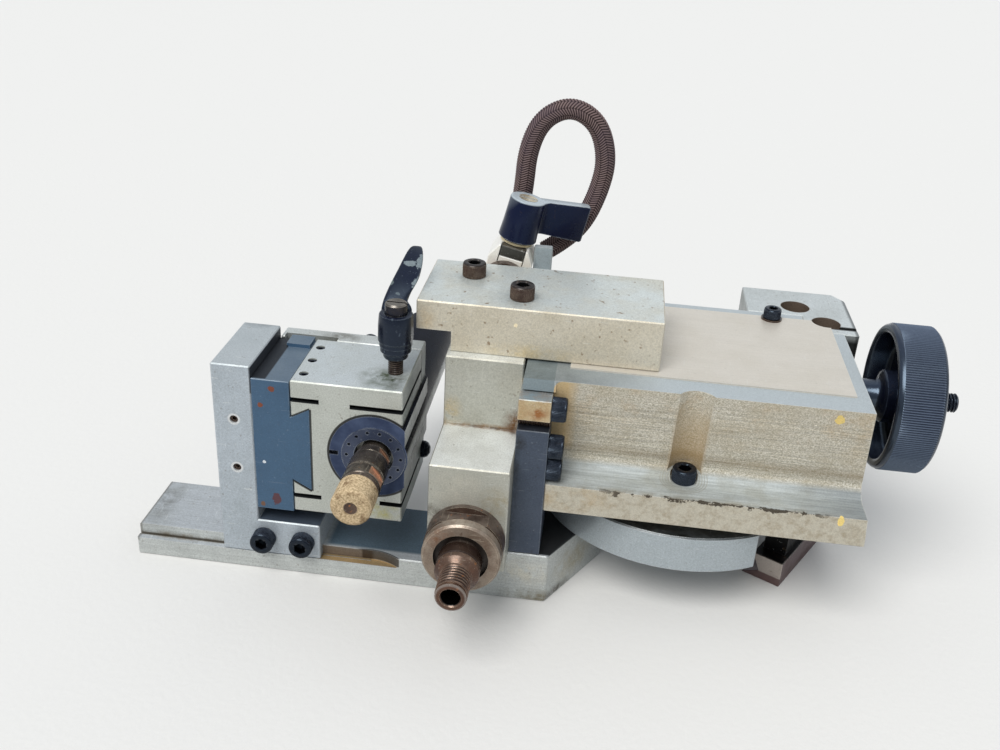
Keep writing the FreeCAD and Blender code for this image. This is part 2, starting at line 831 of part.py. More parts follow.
def feed_drive():
    start = (housing_end - d.bush_length, d.feed_y, d.feed_z)
    bush = rod(start, "+x", d.bush_radius, d.bush_length)
    node("feed_bush", cut(bush, [rod(start, "+x", d.journal_radius + d.run_gap, d.bush_length)]))
    reach = housing_end - d.bush_length - d.feed_screw_end
    journal = wheel_end - housing_end + d.bush_length
    steps = [(1, d.feed_screw_radius - 1, d.feed_screw_radius), (reach - 1, d.feed_screw_radius)]
    steps += [(journal, d.journal_radius), (d.stud_length - 1, d.stud_radius)]
    steps += [(1, d.stud_radius, d.stud_radius - 1)]
    screw = turned((d.feed_screw_end, d.feed_y, d.feed_z), "+x", steps)
    grooves = []
    for i in range(7):
        ring = along((wheel_end, d.feed_y, d.feed_z), "+x", 2 + i * 1.9)
        band = rod(ring, "+x", d.stud_radius + 1, 0.8)
        core = rod(ring, "+x", d.stud_radius - d.thread_groove, 0.8)
        grooves.append(cut(band, [core]))
    node("feed_screw", cut(screw, grooves))
    rim = 1.6
    inner = d.wheel_radius - d.wheel_rim
    hub = [(d.hub_length, d.hub_radius), (rim, d.wheel_radius - rim, d.wheel_radius)]
    hub += [(d.wheel_width - rim * 2, d.wheel_radius), (rim, d.wheel_radius, d.wheel_radius - rim)]
    start = (housing_end + d.hub_gap, d.feed_y, d.feed_z)
    wheel = turned(start, "+x", hub)
    face = (wheel_x, d.feed_y, d.feed_z)
    core = turned(face, "+x", [(d.wheel_pocket * 0.5, d.hub_radius), (d.wheel_pocket * 0.5, d.wheel_boss)])
    pocket = cut(rod(face, "+x", inner, d.wheel_pocket), [core])
    dish = cut(rod((wheel_end - 2, d.feed_y, d.feed_z), "+x", inner, 3),
               [rod((wheel_end - 2, d.feed_y, d.feed_z), "+x", d.hub_radius, 3)])
    bore = rod(start, "+x", d.journal_radius + d.fit_gap, d.hub_length + d.wheel_width)
    node("handwheel", cut(wheel, [pocket, dish, bore]))


def arm():
    height = top_bar_bottom - arm_bottom
    shelf = d.arm_shelf_top - arm_bottom
    depth = d.arm_back - d.arm_front
    side = [(0, 0), (d.arm_foot_length, 0), (depth, d.arm_slope_top - arm_bottom), (depth, height)]
    side += [(d.arm_shelf, height), (d.arm_shelf, shelf), (0, shelf)]
    body = prism("YZ_Plane", side, d.arm_width, (d.arm_x, d.arm_front, arm_bottom), edge=plain_edge)
    nose = (nose_x, d.arm_front - 1, d.nose_z)
    nut_x = arm_end - d.feed_nut_length
    tools = [
        rod(nose, "+y", d.nose_bearing_radius + d.fit_gap, depth),
        rod((nut_x, d.feed_y, d.feed_z), "+x", d.feed_nut_radius + d.fit_gap, d.feed_nut_length + 1),
        rod((d.arm_x + 4, d.feed_y, d.feed_z), "+x", d.feed_screw_radius + 1, d.arm_width),
    ]
    for x, y in top_screw_points():
        depth_z = top_bar_bottom - d.top_screw_reach - 1
        tools.append(rod((x, y, depth_z), "+z", d.medium_shank + d.run_gap, d.top_screw_reach + 2))
    rods = []
    for y in (d.guide_rod_front, d.guide_rod_back):
        start = (arm_end - d.guide_rod_depth, y, d.guide_rod_z)
        tools.append(rod(start, "+x", d.guide_rod_radius + d.fit_gap, d.guide_rod_depth + 1))
        end = [(d.guide_rod_length - 1, d.guide_rod_radius), (1, d.guide_rod_radius, d.guide_rod_radius - 1)]
        rods.append(turned(start, "+x", end))
    node("arm", cut(body, tools))
    node("guide_rods", group(rods))
    start = (nut_x, d.feed_y, d.feed_z)
    nut = rod(start, "+x", d.feed_nut_radius, d.feed_nut_length)
    node("feed_nut", cut(nut, [rod(start, "+x", d.feed_screw_radius + d.run_gap, d.feed_nut_length)]))


def top_screw_points():
    return [(d.top_screw_left, d.top_screw_left_y), (d.top_screw_right, d.top_screw_right_y)]


def top_bar():
    low = (d.top_bar_x, d.top_bar_front, top_bar_bottom)
    body = block(low, (d.top_bar_x + d.top_bar_length, d.arm_back, top_bar_top), plain_edge)
    notch_end = d.top_bar_x + d.notch_length
    tools = [
        box((d.top_bar_x - 1, d.top_bar_front - 1, top_bar_bottom - 1),
            (notch_end, d.arm_back + 1, top_bar_bottom + d.notch_height)),
        rod((d.valve_x, d.arm_back - 16, valve_z), "+y", d.valve_neck_radius + d.fit_gap, 20),
    ]
    screws = []
    for x, y in top_screw_points():
        tools.append(rod((x, y, top_bar_bottom - 1), "+z", d.medium_shank + d.screw_gap, 40))
        screws.append(cap_screw((x, y, top_bar_top), "+z", "medium", d.top_bar_thickness + d.top_screw_reach))
    node("top_bar", cut(body, tools))
    node("top_bar_screws", group(screws))


def side_plates():
    right = d.housing_x - d.strip_gap
    low = (arm_end, d.strip_front, d.raised_top + d.strip_lift)
    strip = block(low, (right, d.strip_back, d.strip_top), d.edge_break / 2)
    low = (arm_end, d.side_block_front, d.side_block_bottom)
    upper = block(low, (right, d.strip_back, d.side_block_top), d.edge_break / 2)
    length = right - arm_end - d.side_screw_margin
    screws = []
    holes = []
    for z in (d.side_screw_low, d.side_screw_mid, d.side_screw_high):
        start = (arm_end + d.side_screw_margin - 1, d.side_screw_y, z)
        holes.append(rod(start, "+x", d.medium_shank + d.run_gap, 30))
        screws.append(cap_screw((right, d.side_screw_y, z), "+x", "medium", length))
    node("guide_strip", cut(strip, holes[:2]))
    node("side_block", cut(upper, holes[2:]))
    node("side_screws", group(screws))
    middle = (d.strip_top + d.side_block_bottom) / 2
    node("stop_stud", rod((arm_end, d.stop_stud_y, middle), "+x", d.stop_stud_radius, right - arm_end))


def workhead_nose():
    rings = []
    rear = d.nose_bearing_length + d.nose_bearing_gap
    for start in (d.slide_gap, rear):
        spot = (nose_x, d.arm_front + start, d.nose_z)
        outer = rod(spot, "+y", d.nose_bearing_radius, d.nose_bearing_length)
        inner = rod(spot, "+y", d.nose_shaft_radius + d.run_gap, d.nose_bearing_length)
        rings.append(cut(outer, [inner]))
    node("nose_bearings", group(rings))
    back_y = d.arm_front + rear + d.nose_bearing_length + d.screw_gap
    back = (nose_x, back_y + d.nose_nut_length, d.nose_z)
    shaft = d.nose_nut_length + back_y - d.arm_front + d.slide_gap
    steps = [(shaft, d.nose_shaft_radius), (d.nose_collar_length, d.nose_collar_radius)]
    steps += [(d.nose_flange_length, d.nose_shaft_radius)]
    spindle = turned(back, "-y", steps)
    flats = []
    wide = d.nose_collar_radius + 1
    for low, high in ((d.nose_flat, wide), (-wide, -d.nose_flat)):
        corner = (nose_x - wide, collar_face - 1, d.nose_z + low)
        flats.append(box(corner, (nose_x + wide, d.arm_front - 3, d.nose_z + high)))
    node("nose_spindle", cut(spindle, flats))
    nut_spot = (nose_x, back_y, d.nose_z)
    nut = rod(nut_spot, "+y", d.nose_bearing_radius - 1, d.nose_nut_length)
    node("nose_nut", cut(nut, [rod(nut_spot, "+y", d.nose_shaft_radius + d.fit_gap, d.nose_nut_length)]))
    face = (nose_x, collar_face, d.nose_z)
    edge = 1
    ring = turned(face, "-y", [(edge, d.nose_flange_radius - edge, d.nose_flange_radius),
                               (d.nose_flange_length - edge * 2, d.nose_flange_radius),
                               (edge, d.nose_flange_radius, d.nose_flange_radius - edge)])
    recess = rod((nose_x, flange_face, d.nose_z), "+y", d.nose_recess_radius, d.nose_recess_depth)
    hole = rod(face, "-y", d.nose_shaft_radius + d.fit_gap, d.nose_flange_length)
    node("nose_flange", cut(ring, [recess, hole]))
    front = (nose_x, flange_face, d.nose_z)
    neck = d.nipple_collar_length - 2
    tip = 0.8
    plain = d.nipple_length - tip
    steps = [(neck, d.nipple_collar_radius), (2, d.nipple_collar_radius, d.nipple_radius)]
    steps += [(plain, d.nipple_radius), (tip, d.nipple_radius, d.nipple_radius - tip)]
    nipple = turned(front, "-y", steps)
    tools = [rod(front, "-y", d.nipple_bore, d.nipple_collar_length + d.nipple_length)]
    for i in range(7):
        ring = along((nose_x, nipple_face, d.nose_z), "-y", 1.5 + i * 2.1)
        band = rod(ring, "-y", d.nipple_radius + 1, 1)
        tools.append(cut(band, [rod(ring, "-y", d.nipple_radius - d.thread_groove, 1)]))
    node("threaded_nipple", cut(nipple, tools))


def carriage():
    low = d.ledge_top + d.slide_gap
    foot_end = d.bracket_x + d.bracket_foot
    side = [(0, 0), (d.bracket_foot, 0), (d.bracket_foot, bracket_foot_top - low)]
    side += [(d.bracket_thickness, bracket_foot_top - low), (d.bracket_thickness, d.bracket_top - low)]
    side += [(0, d.bracket_top - low)]
    body = prism("XZ_Plane", side, d.bracket_depth, (d.bracket_x, 0, low), edge=plain_edge)
    lip = d.ledge_depth - d.slide_gap
    rail = box((d.bracket_x - 1, lip, 0), (foot_end + 1, d.bracket_depth + 1, d.bar_height + d.slide_gap))
    tools = [rail]
    jaw_back = d.bracket_depth + d.slide_gap + d.clamp_bar_depth
    jaw_x = d.bracket_x + d.clamp_bar_inset
    jaw = block((jaw_x, d.bracket_depth + d.slide_gap, d.clamp_bar_bottom),
                (foot_end, jaw_back, bracket_foot_top), plain_edge)
    lip_box = box((jaw_x, d.bar_width + d.slide_gap, d.clamp_bar_bottom),
                  (foot_end, d.bracket_depth + 2, d.bar_height - 0.5))
    screws = []
    jaw_holes = []
    screw_z = d.bar_height + d.bracket_screw_rise
    for inset in (d.bracket_screw_left, d.bracket_screw_right):
        x = d.bracket_x + inset
        spot = (x, -1, screw_z)
        tools.append(rod(spot, "+y", d.medium_shank + d.screw_gap, d.bracket_depth + 2))
        jaw_holes.append(rod(spot, "+y", d.medium_shank + d.run_gap, jaw_back + 2))
        screws.append(cap_screw((x, 0, screw_z), "-y", "medium", jaw_back - 1))
    studs = []
    set_x = d.bracket_x + d.set_screw_inset
    for z in (d.set_screw_low, d.set_screw_high):
        tools.append(rod((set_x, -1, z), "+y", d.set_screw_radius + d.run_gap, d.set_screw_length + 3))
        stud = rod((set_x, 1, z), "+y", d.set_screw_radius, d.set_screw_length)
        mouth = six_sided((set_x, 0, z), turns["+y"], d.set_screw_radius * 0.55, 3)
        studs.append(cut(stud, [mouth]))
    middle = d.slide_bottom + d.slide_height / 2
    seat_x = d.bracket_x + d.medium_head_height + 0.8
    slide_holes = []
    slide_screws = []
    for y in (d.slide_screw_front, d.slide_screw_back):
        outside = (d.bracket_x - 1, y, middle)
        tools.append(rod(outside, "+x", d.medium_shank + d.screw_gap, 40))
        tools.append(rod(outside, "+x", d.medium_head + d.screw_gap, seat_x - d.bracket_x + 1))
        slide_holes.append(rod((bracket_face - 1, y, middle), "+x", d.medium_shank + d.run_gap, 18))
        slide_screws.append(cap_screw((seat_x, y, middle), "-x", "medium", bracket_face - seat_x + 16))
    node("angle_bracket", cut(body, tools))
    node("bracket_screws", group(screws))
    node("bracket_set_screws", group(studs))
    node("rail_clamp", cut(fuse([jaw, lip_box]), jaw_holes))
    high = d.tail_low + d.tail_root
    deep = d.slide_thickness + d.tail_depth
    tail = [(0, 0), (d.slide_thickness, 0), (d.slide_thickness, d.tail_low), (deep, d.tail_low - d.tail_flare)]
    tail += [(deep, high + d.tail_flare), (d.slide_thickness, high), (d.slide_thickness, d.slide_height)]
    tail += [(0, d.slide_height)]
    start = (bracket_face, d.slide_front, d.slide_bottom)
    slide = prism("XZ_Plane", tail, d.slide_length, start, edge=d.edge_break / 2)
    top = d.slide_bottom + d.slide_height
    step_end = d.slide_front + d.slide_length
    step = box((bracket_face + 7, step_end - 11, top - 1),
               (bracket_face + d.slide_thickness - 0.5, step_end, top + d.slide_step))
    node("dovetail_slide", cut(fuse([slide, step]), slide_holes))
    node("slide_screws", group(slide_screws))


def spindle_block():
    low = (block_x, d.block_front, d.block_bottom)
    body = block(low, (block_end, block_back, block_top), plain_edge)
    gap = d.slide_gap * 2
    back = 3
    lean = d.tail_flare / d.tail_depth
    root_low = d.slide_bottom + d.tail_low - gap
    root_high = d.slide_bottom + d.tail_low + d.tail_root + gap
    reach = d.tail_depth + gap
    height = root_high - root_low
    flare = lean * reach
    groove = [(0, flare + lean * back), (reach + back, 0), (reach + back, height + flare * 2)]
    groove += [(0, height + flare - lean * back)]
    start = (bracket_face + d.slide_thickness - back, d.block_front - 1, root_low - flare)
    tools = [prism("XZ_Plane", groove, d.block_depth + 2, start)]
    axis = (spindle_x, d.block_front - 1, spindle_z)
    tools.append(rod(axis, "+y", d.sleeve_radius + d.run_gap, d.block_depth + 2))
    half = d.slit_width / 2
    cuts = [
        (block_x - 1, block_x + d.slit_left_length, slit_high),
        (block_x - 1, block_x + d.slit_left_length, d.block_bottom + d.slit_low),
        (block_end - d.slit_right_high, block_end + 1, block_top - d.slit_high_right),
        (block_end - d.slit_right_low, block_end + 1, d.block_bottom + d.slit_low_right),
    ]
    for first, last, z in cuts:
        tools.append(box((first, d.block_front - 1, z - half), (last, block_back + 1, z + half)))
    tools.append(rod((lever_x, d.lever_y, lever_stud_end - 0.5), "+z", d.lever_stud_radius + d.run_gap, 30))
    screws = []
    for i in range(3):
        spot = (block_x + d.gib_screw_inset, d.gib_screw_y + i * d.gib_screw_pitch, slit_high + half)
        tools.append(rod(spot, "+z", d.gib_screw_radius + d.run_gap, 20))
        length = d.slit_high - half - 0.7
        screw = rod(spot, "+z", d.gib_screw_radius, length)
        mouth = six_sided(along(spot, "+z", length - 2), turns["+z"], d.gib_screw_radius * 0.55, 3)
        screws.append(cut(screw, [mouth]))
    plate_bolts = []
    plate_tools = [rod((spindle_x, block_back - 1, spindle_z), "+y", d.sleeve_radius + d.run_gap, 40)]
    plate_back = block_back + d.slide_gap + d.rear_plate_depth
    bolt_x = block_x + d.plate_bolt_inset
    for z in (d.block_bottom + d.plate_bolt_edge, block_top - d.plate_bolt_edge):
        spot = (bolt_x, block_back - 14, z)
        tools.append(rod(spot, "+y", d.small_shank + d.run_gap, 20))
        plate_tools.append(rod(spot, "+y", d.small_shank + d.screw_gap, 40))
        plate_bolts.append(cap_screw((bolt_x, plate_back, z), "+y", "small", d.rear_plate_depth + 12))
    node("spindle_block", cut(body, tools))
    node("gib_screws", group(screws))
    plate_x = bracket_face + d.rear_plate_inset
    plate = block((plate_x, block_back + d.slide_gap, d.block_bottom),
                  (block_end, plate_back, block_top), plain_edge)
    slot = box((plate_x + 2, block_back, block_top - 6),
               (plate_x + 2 + d.rear_slot_length, block_back + d.rear_slot_depth, block_top + 1))
    dome_spot = (block_end - 5, d.dome_y, d.block_bottom + d.dome_rise)
    plate_tools += [slot, rod(dome_spot, "+x", d.dome_radius / 2 + d.run_gap, 20)]
    node("rear_plate", cut(plate, plate_tools))
    node("plate_screws", group(plate_bolts))
    r = d.dome_radius
    node("dome_screw", turned(dome_spot, "+x", [(5, r / 2), (r * 0.4, r), (r * 0.35, r, r * 0.82),
                                                (r * 0.25, r * 0.82, r * 0.4)]))


def motor_cartridge():
    front = (spindle_x, 0, spindle_z)
    edge = 1.2
    length = block_back + d.slide_gap + d.rear_plate_depth
    sleeve = rod(front, "+y", d.sleeve_radius, length)
    bore = d.motor_radius - d.motor_wall
    far = d.sleeve_radius + 2
    flat = box((spindle_x + d.sleeve_flat, -1, spindle_z - far), (spindle_x + far, length + 1, spindle_z + far))
    motor = turned(front, "+y", [(d.motor_length - edge, d.motor_radius),
                                 (edge, d.motor_radius, d.motor_radius - edge)])
    notch = box((spindle_x - far, -1, spindle_z - 1.2),
                (spindle_x - d.pin_nut_radius - 2, 2.5, spindle_z + 1.2))
    seat = d.pin_nut_radius + d.fit_gap
    tools = [notch, rod((spindle_x, -1, spindle_z), "+y", seat, d.pin_nut_depth + 1)]
    tools.append(rod(front, "+y", bore + d.fit_gap, d.motor_length - 8))
    node("motor_sleeve", cut(fuse([cut(sleeve, [flat]), motor]), tools))
    start = (spindle_x, -d.pin_nut_proud, spindle_z)
    nut = rod(start, "+y", d.pin_nut_radius, d.pin_nut_depth + d.pin_nut_proud)
    holes = [rod(start, "+y", d.pin_nut_bore, d.pin_nut_depth + 2)]
    for i in range(14):
        angle = math.radians(360 / 14 * i)
        spot = (spindle_x + d.pin_hole_circle * round(math.cos(angle), 5), start[1],
                spindle_z + d.pin_hole_circle * round(math.sin(angle), 5))
        holes.append(rod(spot, "+y", d.pin_hole_radius, 3))
    node("pin_nut", cut(nut, holes))
    rings = []
    for y in (d.pin_nut_depth + 1, d.rear_bearing_y):
        spot = (spindle_x, y, spindle_z)
        inner = rod(spot, "+y", d.shaft_radius + d.run_gap, d.bearing_length)
        rings.append(cut(rod(spot, "+y", bore, d.bearing_length), [inner]))
    node("spindle_bearings", group(rings))


def grinding_spindle():
    back_y = d.rear_bearing_y + d.bearing_length + 2
    back = (spindle_x, back_y, spindle_z)
    steps = [(back_y + 3, d.shaft_radius), (-d.spindle_nose_end - 3, d.spindle_nose_radius)]
    node("spindle_shaft", turned(back, "-y", steps))
    start = (spindle_x, d.spindle_nose_end, spindle_z)
    edge = 0.8
    plain = d.collet_length - d.collet_flat_length - edge
    collet = turned(start, "-y", [(edge, d.collet_radius - edge, d.collet_radius), (plain, d.collet_radius),
                                  (d.collet_flat_length, d.collet_radius)])
    end_y = d.spindle_nose_end - d.collet_length
    wide = d.collet_radius + 1
    flats = []
    for low, high in ((d.collet_flat, wide), (-wide, -d.collet_flat)):
        flats.append(box((spindle_x + low, end_y - 1, spindle_z - wide),
                         (spindle_x + high, end_y + d.collet_flat_length, spindle_z + wide)))
    socket = rod((spindle_x, end_y, spindle_z), "+y", d.arbor_radius + d.fit_gap, d.collet_length)
    node("collet_nut", cut(collet, flats + [socket]))
    arbor_start = (spindle_x, end_y + d.collet_length - 4, spindle_z)
    collar = d.stone_radius - 0.6
    reach = d.collet_length - 4
    steps = [(reach, d.arbor_radius), (d.stone_collar, collar), (d.stone_length - 0.4, d.arbor_radius)]
    node("stone_arbor", turned(arbor_start, "-y", steps))
    face = (spindle_x, end_y - d.stone_collar, spindle_z)
    stone = turned(face, "-y", [(d.stone_length - edge, d.stone_radius),
                                (edge, d.stone_radius, d.stone_radius - edge)])
    hole = rod(face, "-y", d.arbor_radius + d.fit_gap, d.stone_length)
    node("grinding_stone", cut(stone, [hole]))


def clamp_lever():
    spot = (lever_x, d.lever_y, lever_stud_end)
    node("lever_stud", rod(spot, "+z", d.lever_stud_radius, lever_neck_bottom - lever_stud_end))
    ring = lever_ring_top - lever_ring_bottom
    flare = lever_ring_bottom - lever_neck_bottom
    steps = [(flare / 2, d.lever_neck_radius), (flare / 2, d.lever_hub_radius, d.lever_ring_radius - 0.6)]
    steps += [(ring, d.lever_ring_radius), (lever_hub_top - lever_ring_top, d.lever_hub_radius)]
    hub = turned((lever_x, d.lever_y, lever_neck_bottom), "+z", steps)
    low = lever_hub_top - 7
    root = d.lever_hub_radius
    crest = lever_hub_top - low
    reach = root + d.handle_reach
    # side view of the handle, rising towards the back
    side = [(2, 0), (root + 1, 0), (reach - 3, d.handle_rise + 2), (reach, d.handle_rise + 7)]
    side += [(reach - 5, d.handle_rise + 10), (root + 3, crest + 5), (2, crest - 0.5)]
    rise = prism("YZ_Plane", side, d.handle_width * 2, (lever_x - d.handle_width, d.lever_y, low))
    # plan of the handle, narrower towards its tip and clear of the top bar
    half = d.handle_width / 2
    near = half - d.handle_lean
    plan = [(-root + 0.7, 2), (root - 0.7, 2), (near, root + 0.6), (near, reach - 17.5)]
    plan += [(half + d.handle_lean, reach - 14), (half + d.handle_lean, reach - 4), (half, reach)]
    plan += [(0, reach), (-d.handle_lean, reach - 3), (-root + 1.6, root)]
    paddle = prism("XY_Plane", plan, d.handle_rise * 2, (lever_x, d.lever_y, low))
    clear = rod((lever_x, d.lever_y, lever_hub_top), "+z", d.lever_screw_radius + d.screw_gap, 40)
    node("lever_handle", cut(fuse([hub, common(rise, paddle)]), [clear]))
    top = (lever_x, d.lever_y, lever_hub_top)
    screw = turned(top, "+z", [(d.lever_screw_height - 0.8, d.lever_screw_radius),
                               (0.8, d.lever_screw_radius, d.lever_screw_radius - 0.8)])
    slot_low = lever_hub_top + d.lever_screw_height - 1.6
    half = d.lever_screw_radius + 1
    slot = box((lever_x - half, d.lever_y - 0.7, slot_low), (lever_x + half, d.lever_y + 0.7, slot_low + 3))
    node("lever_screw", cut(screw, [slot]))


def tilted_point(start, angle, distance):
    x, y, z = start
    return x + sine(angle) * distance, y, z + cosine(angle) * distance


def tilted(angle):
    return Rotation(Vector(0, 1, 0), angle.value)


def tilted_rod(start, angle, low, high, radius):
    thing = rod(start, "+z", radius, as_size(high) - low)
    return place(thing, tilted_point(start, angle, low), tilted(angle))


def air_valve():
    neck = (d.valve_x, d.arm_back - 15, valve_z)
    reach = d.valve_front - d.valve_collar_length - d.arm_back + 15
    node("valve_nipple", turned(neck, "+y", [(reach, d.valve_neck_radius),
                                             (d.valve_collar_length, d.valve_collar_radius)]))
    tilt = d.valve_tilt
    front = (d.valve_x, d.valve_front, valve_z)
    centre = (d.valve_x, valve_y, valve_z)
    # front view of the body, with slanted shoulders beside the stem
    half = d.valve_half
    wide = half - d.valve_crown
    section = [(0, 0), (half * 2, 0), (half * 2, d.valve_low + d.valve_shoulder)]
    section += [(half + d.valve_crown, d.valve_low + d.valve_top), (wide, d.valve_low + d.valve_top)]
    section += [(0, d.valve_low + d.valve_shoulder)]
    corner = (d.valve_x - half * cosine(tilt) - d.valve_low * sine(tilt), d.valve_front,
              valve_z + half * sine(tilt) - d.valve_low * cosine(tilt))
    body = prism("XZ_Plane", section, d.valve_length, corner, tilted(tilt), d.edge_break)
    pocket = tilted_rod(centre, tilt, 5, d.valve_top + 5, d.stem_radius + d.run_gap)
    start = tilted_point((d.valve_x, d.valve_front - 1, valve_z), tilt, d.valve_window_low)
    side = d.valve_window / 2
    start = (start[0] - side * cosine(tilt), start[1], start[2] + side * sine(tilt))
    plan = [(0, 0), (d.valve_window, 0), (d.valve_window, d.valve_window_depth + 1), (0, d.valve_window_depth + 1)]
    window = prism("XY_Plane", plan, d.valve_top, start, tilted(tilt))
    node("valve_body", cut(body, [pocket, window]))
    node("valve_stem", tilted_rod(centre, tilt, 5.5, d.stem_top, d.stem_radius))
    hub = tilted_rod(centre, tilt, d.stem_top, d.valve_hub_top, d.valve_hub_radius)
    near = d.valve_handle_offset - d.valve_handle_thickness / 2
    far = d.valve_handle_offset + d.valve_handle_thickness / 2
    turn = d.valve_handle_turn
    plan = []
    for ahead, aside in ((0, near), (d.valve_handle_reach, near), (d.valve_handle_reach, far), (0, far)):
        plan.append((ahead * cosine(turn) - aside * sine(turn), ahead * sine(turn) + aside * cosine(turn)))
    start = tilted_point(centre, tilt, d.valve_handle_low)
    handle = prism("XY_Plane", plan, d.valve_hub_top - d.valve_handle_low, start, tilted(tilt), 1.5 * plain_edge)
    node("valve_lever", fuse([hub, handle]))
    high = d.valve_hub_top + d.valve_screw_height
    screw = tilted_rod(centre, tilt, d.valve_hub_top, high, d.valve_screw_radius)
    slot = doc.addObject("Part::Box", "slot")
    bind(slot, "Length", d.valve_screw_radius * 2 + 2)
    slot.Width = 1.2
    slot.Height = 3
    corner = tilted_point((d.valve_x - d.valve_screw_radius - 1, valve_y - 0.6, valve_z), tilt, high - 1)
    place(slot, corner, tilted(tilt))
    node("valve_lever_screw", cut(screw, [slot]))


def valve_elbow():
    back = (d.valve_x, valve_back, valve_z)
    neck = rod(back, "+y", d.valve_neck_radius, d.elbow_radius)
    centre = along(back, "+y", d.elbow_radius + 1)
    ball = doc.addObject("Part::Sphere", "ball")
    bind(ball, "Radius", d.elbow_radius)
    place(ball, centre)
    ferrule = tilted_rod(centre, d.hose_tilt, 2, d.ferrule_end, d.ferrule_radius)
    node("valve_elbow", fuse([neck, ball, ferrule]))


def hose_block():
    back = d.arm_back + d.hose_block_depth
    low = (d.hose_block_x, d.arm_back, d.hose_block_bottom)
    node("hose_block", block(low, (d.hose_block_x + d.hose_block_width, back, d.hose_block_top), plain_edge))
    start = (d.hose_elbow_x, back, d.hose_elbow_z)
    neck = rod(start, "+y", d.hose_ferrule_radius * 0.7, d.hose_elbow_reach)
    centre = along(start, "+y", d.hose_elbow_reach)
    ball = doc.addObject("Part::Sphere", "ball")
    bind(ball, "Radius", d.hose_elbow_radius)
    place(ball, centre)
    ferrule = tilted_rod(centre, d.hose_end_tilt, 2, d.hose_ferrule_end, d.hose_ferrule_radius)
    node("hose_elbow", fuse([neck, ball, ferrule]))


# Turning points of the air hose, from the valve's elbow over the loop to the hose block
hose_route = [
    (193.65, 135.5, 169.6),
    (196.4, 135.5, 192.9),
    (197.3, 134.8, 217.5),
    (205, 133.6, 236.6),
    (221.2, 132.4, 244.8),
    (236.9, 132.9, 236),
    (243.4, 134.2, 216),
    (240.5, 134.4, 196),
    (232.41, 132, 175.52),
    (217.25, 132, 161.13),
]


def air_hose():
    shift = Vector(origin_x.value, origin_y.value, 0)
    points = [Vector(*point) - shift for point in hose_route]
    edges = []
    start = points[0]
    length = 0
    for before, corner, after in zip(points, points[1:], points[2:]):
        come = (corner - before).normalize()
        leave = (after - corner).normalize()
        turn = come.getAngle(leave)
        tangent = 0.45 * min((corner - before).Length, (after - corner).Length)
        radius = tangent / math.tan(turn / 2)
        first = corner - come * tangent
        last = corner + leave * tangent
        inward = (leave - come).normalize()
        middle = corner + inward * (math.hypot(tangent, radius) - radius)
        edges.append(Part.LineSegment(start, first).toShape())
        edges.append(Part.Arc(first, middle, last).toShape())
        length += (first - start).Length + radius * turn
        print(f"hose bend radius {radius:.1f} mm, turn {math.degrees(turn):.0f} degrees")
        start = last
    edges.append(Part.LineSegment(start, points[-1]).toShape())
    length += (points[-1] - start).Length
    path = Part.Wire(edges)
    ring = Part.Wire([Part.Circle(points[0], points[1] - points[0], d.hose_radius.value).toShape()])
    thing = doc.addObject("Part::Feature", "hose")
    thing.Shape = path.makePipeShell([ring], True, False)
    expected = math.pi * d.hose_radius.value ** 2 * length
    print(f"hose length {length:.1f} mm, volume {thing.Shape.Volume / expected:.4f} of section times length")
    node("air_hose", thing)


for build in (base_bar, swivel_disc, dovetail_foot, underside_screws, housing_casting, label_plate,
              rear_clamp_block, flange_screw, feed_drive, arm, top_bar, side_plates, workhead_nose, carriage,
              spindle_block, motor_cartridge, grinding_spindle, clamp_lever, air_valve, valve_elbow, hose_block,
              air_hose):
    build()
doc.recompute()

for thing in doc.Objects:
    if "Invalid" in thing.State or "Error" in thing.State:
        raise RuntimeError(f"{thing.Label} did not build: {thing.State}")
for thing in nodes:
    if thing.Shape.isNull() or not thing.Shape.isValid():
        raise RuntimeError(f"{thing.Label} has no valid solid")
os.makedirs("parts", exist_ok=True)
for thing in nodes:
    thing.Shape.exportStep(f"parts/{thing.Label}.step")
print(f"{len(nodes)} nodes written")
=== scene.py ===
import math
import bpy
import bmesh
from mathutils import Matrix, Vector, noise
from types import SimpleNamespace


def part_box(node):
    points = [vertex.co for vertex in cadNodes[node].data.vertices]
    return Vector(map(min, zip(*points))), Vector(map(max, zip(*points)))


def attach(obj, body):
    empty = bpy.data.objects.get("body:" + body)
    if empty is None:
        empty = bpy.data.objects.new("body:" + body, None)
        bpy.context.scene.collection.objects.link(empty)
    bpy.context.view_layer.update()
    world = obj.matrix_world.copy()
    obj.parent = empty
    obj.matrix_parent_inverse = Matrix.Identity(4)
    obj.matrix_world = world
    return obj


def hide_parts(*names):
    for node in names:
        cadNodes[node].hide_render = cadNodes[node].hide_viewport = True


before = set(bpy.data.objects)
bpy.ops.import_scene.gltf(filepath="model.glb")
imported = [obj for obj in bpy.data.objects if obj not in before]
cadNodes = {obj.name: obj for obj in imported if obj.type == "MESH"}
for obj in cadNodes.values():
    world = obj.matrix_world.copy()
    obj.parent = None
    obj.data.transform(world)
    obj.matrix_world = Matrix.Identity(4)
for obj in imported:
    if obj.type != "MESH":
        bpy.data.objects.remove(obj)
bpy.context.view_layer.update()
mm = 0.001
barCorner = Vector(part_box("base_bar")[0])    # every place below is in mm from this corner
spindleAxis = (137.6, 0, 82.1)
noseAxis = (191.15, 0, 51)
leverAxis = (144.4, 21.9, 0)
print("frame loaded:", len(cadNodes), "nodes")


def spot(x, y, z):
    return barCorner + Vector((x, y, z)) * mm


def named(values):
    # a dictionary's values, read with a dot
    return SimpleNamespace(**values)


def tone(red, green, blue):
    # a colour as it looks on screen, 0 to 255, as the shader wants it
    linear = []
    for part in (red, green, blue):
        part = part / 255
        linear.append(part / 12.92 if part <= 0.04045 else ((part + 0.055) / 1.055) ** 2.4)
    return (*linear, 1.0)


# Shader graph helper

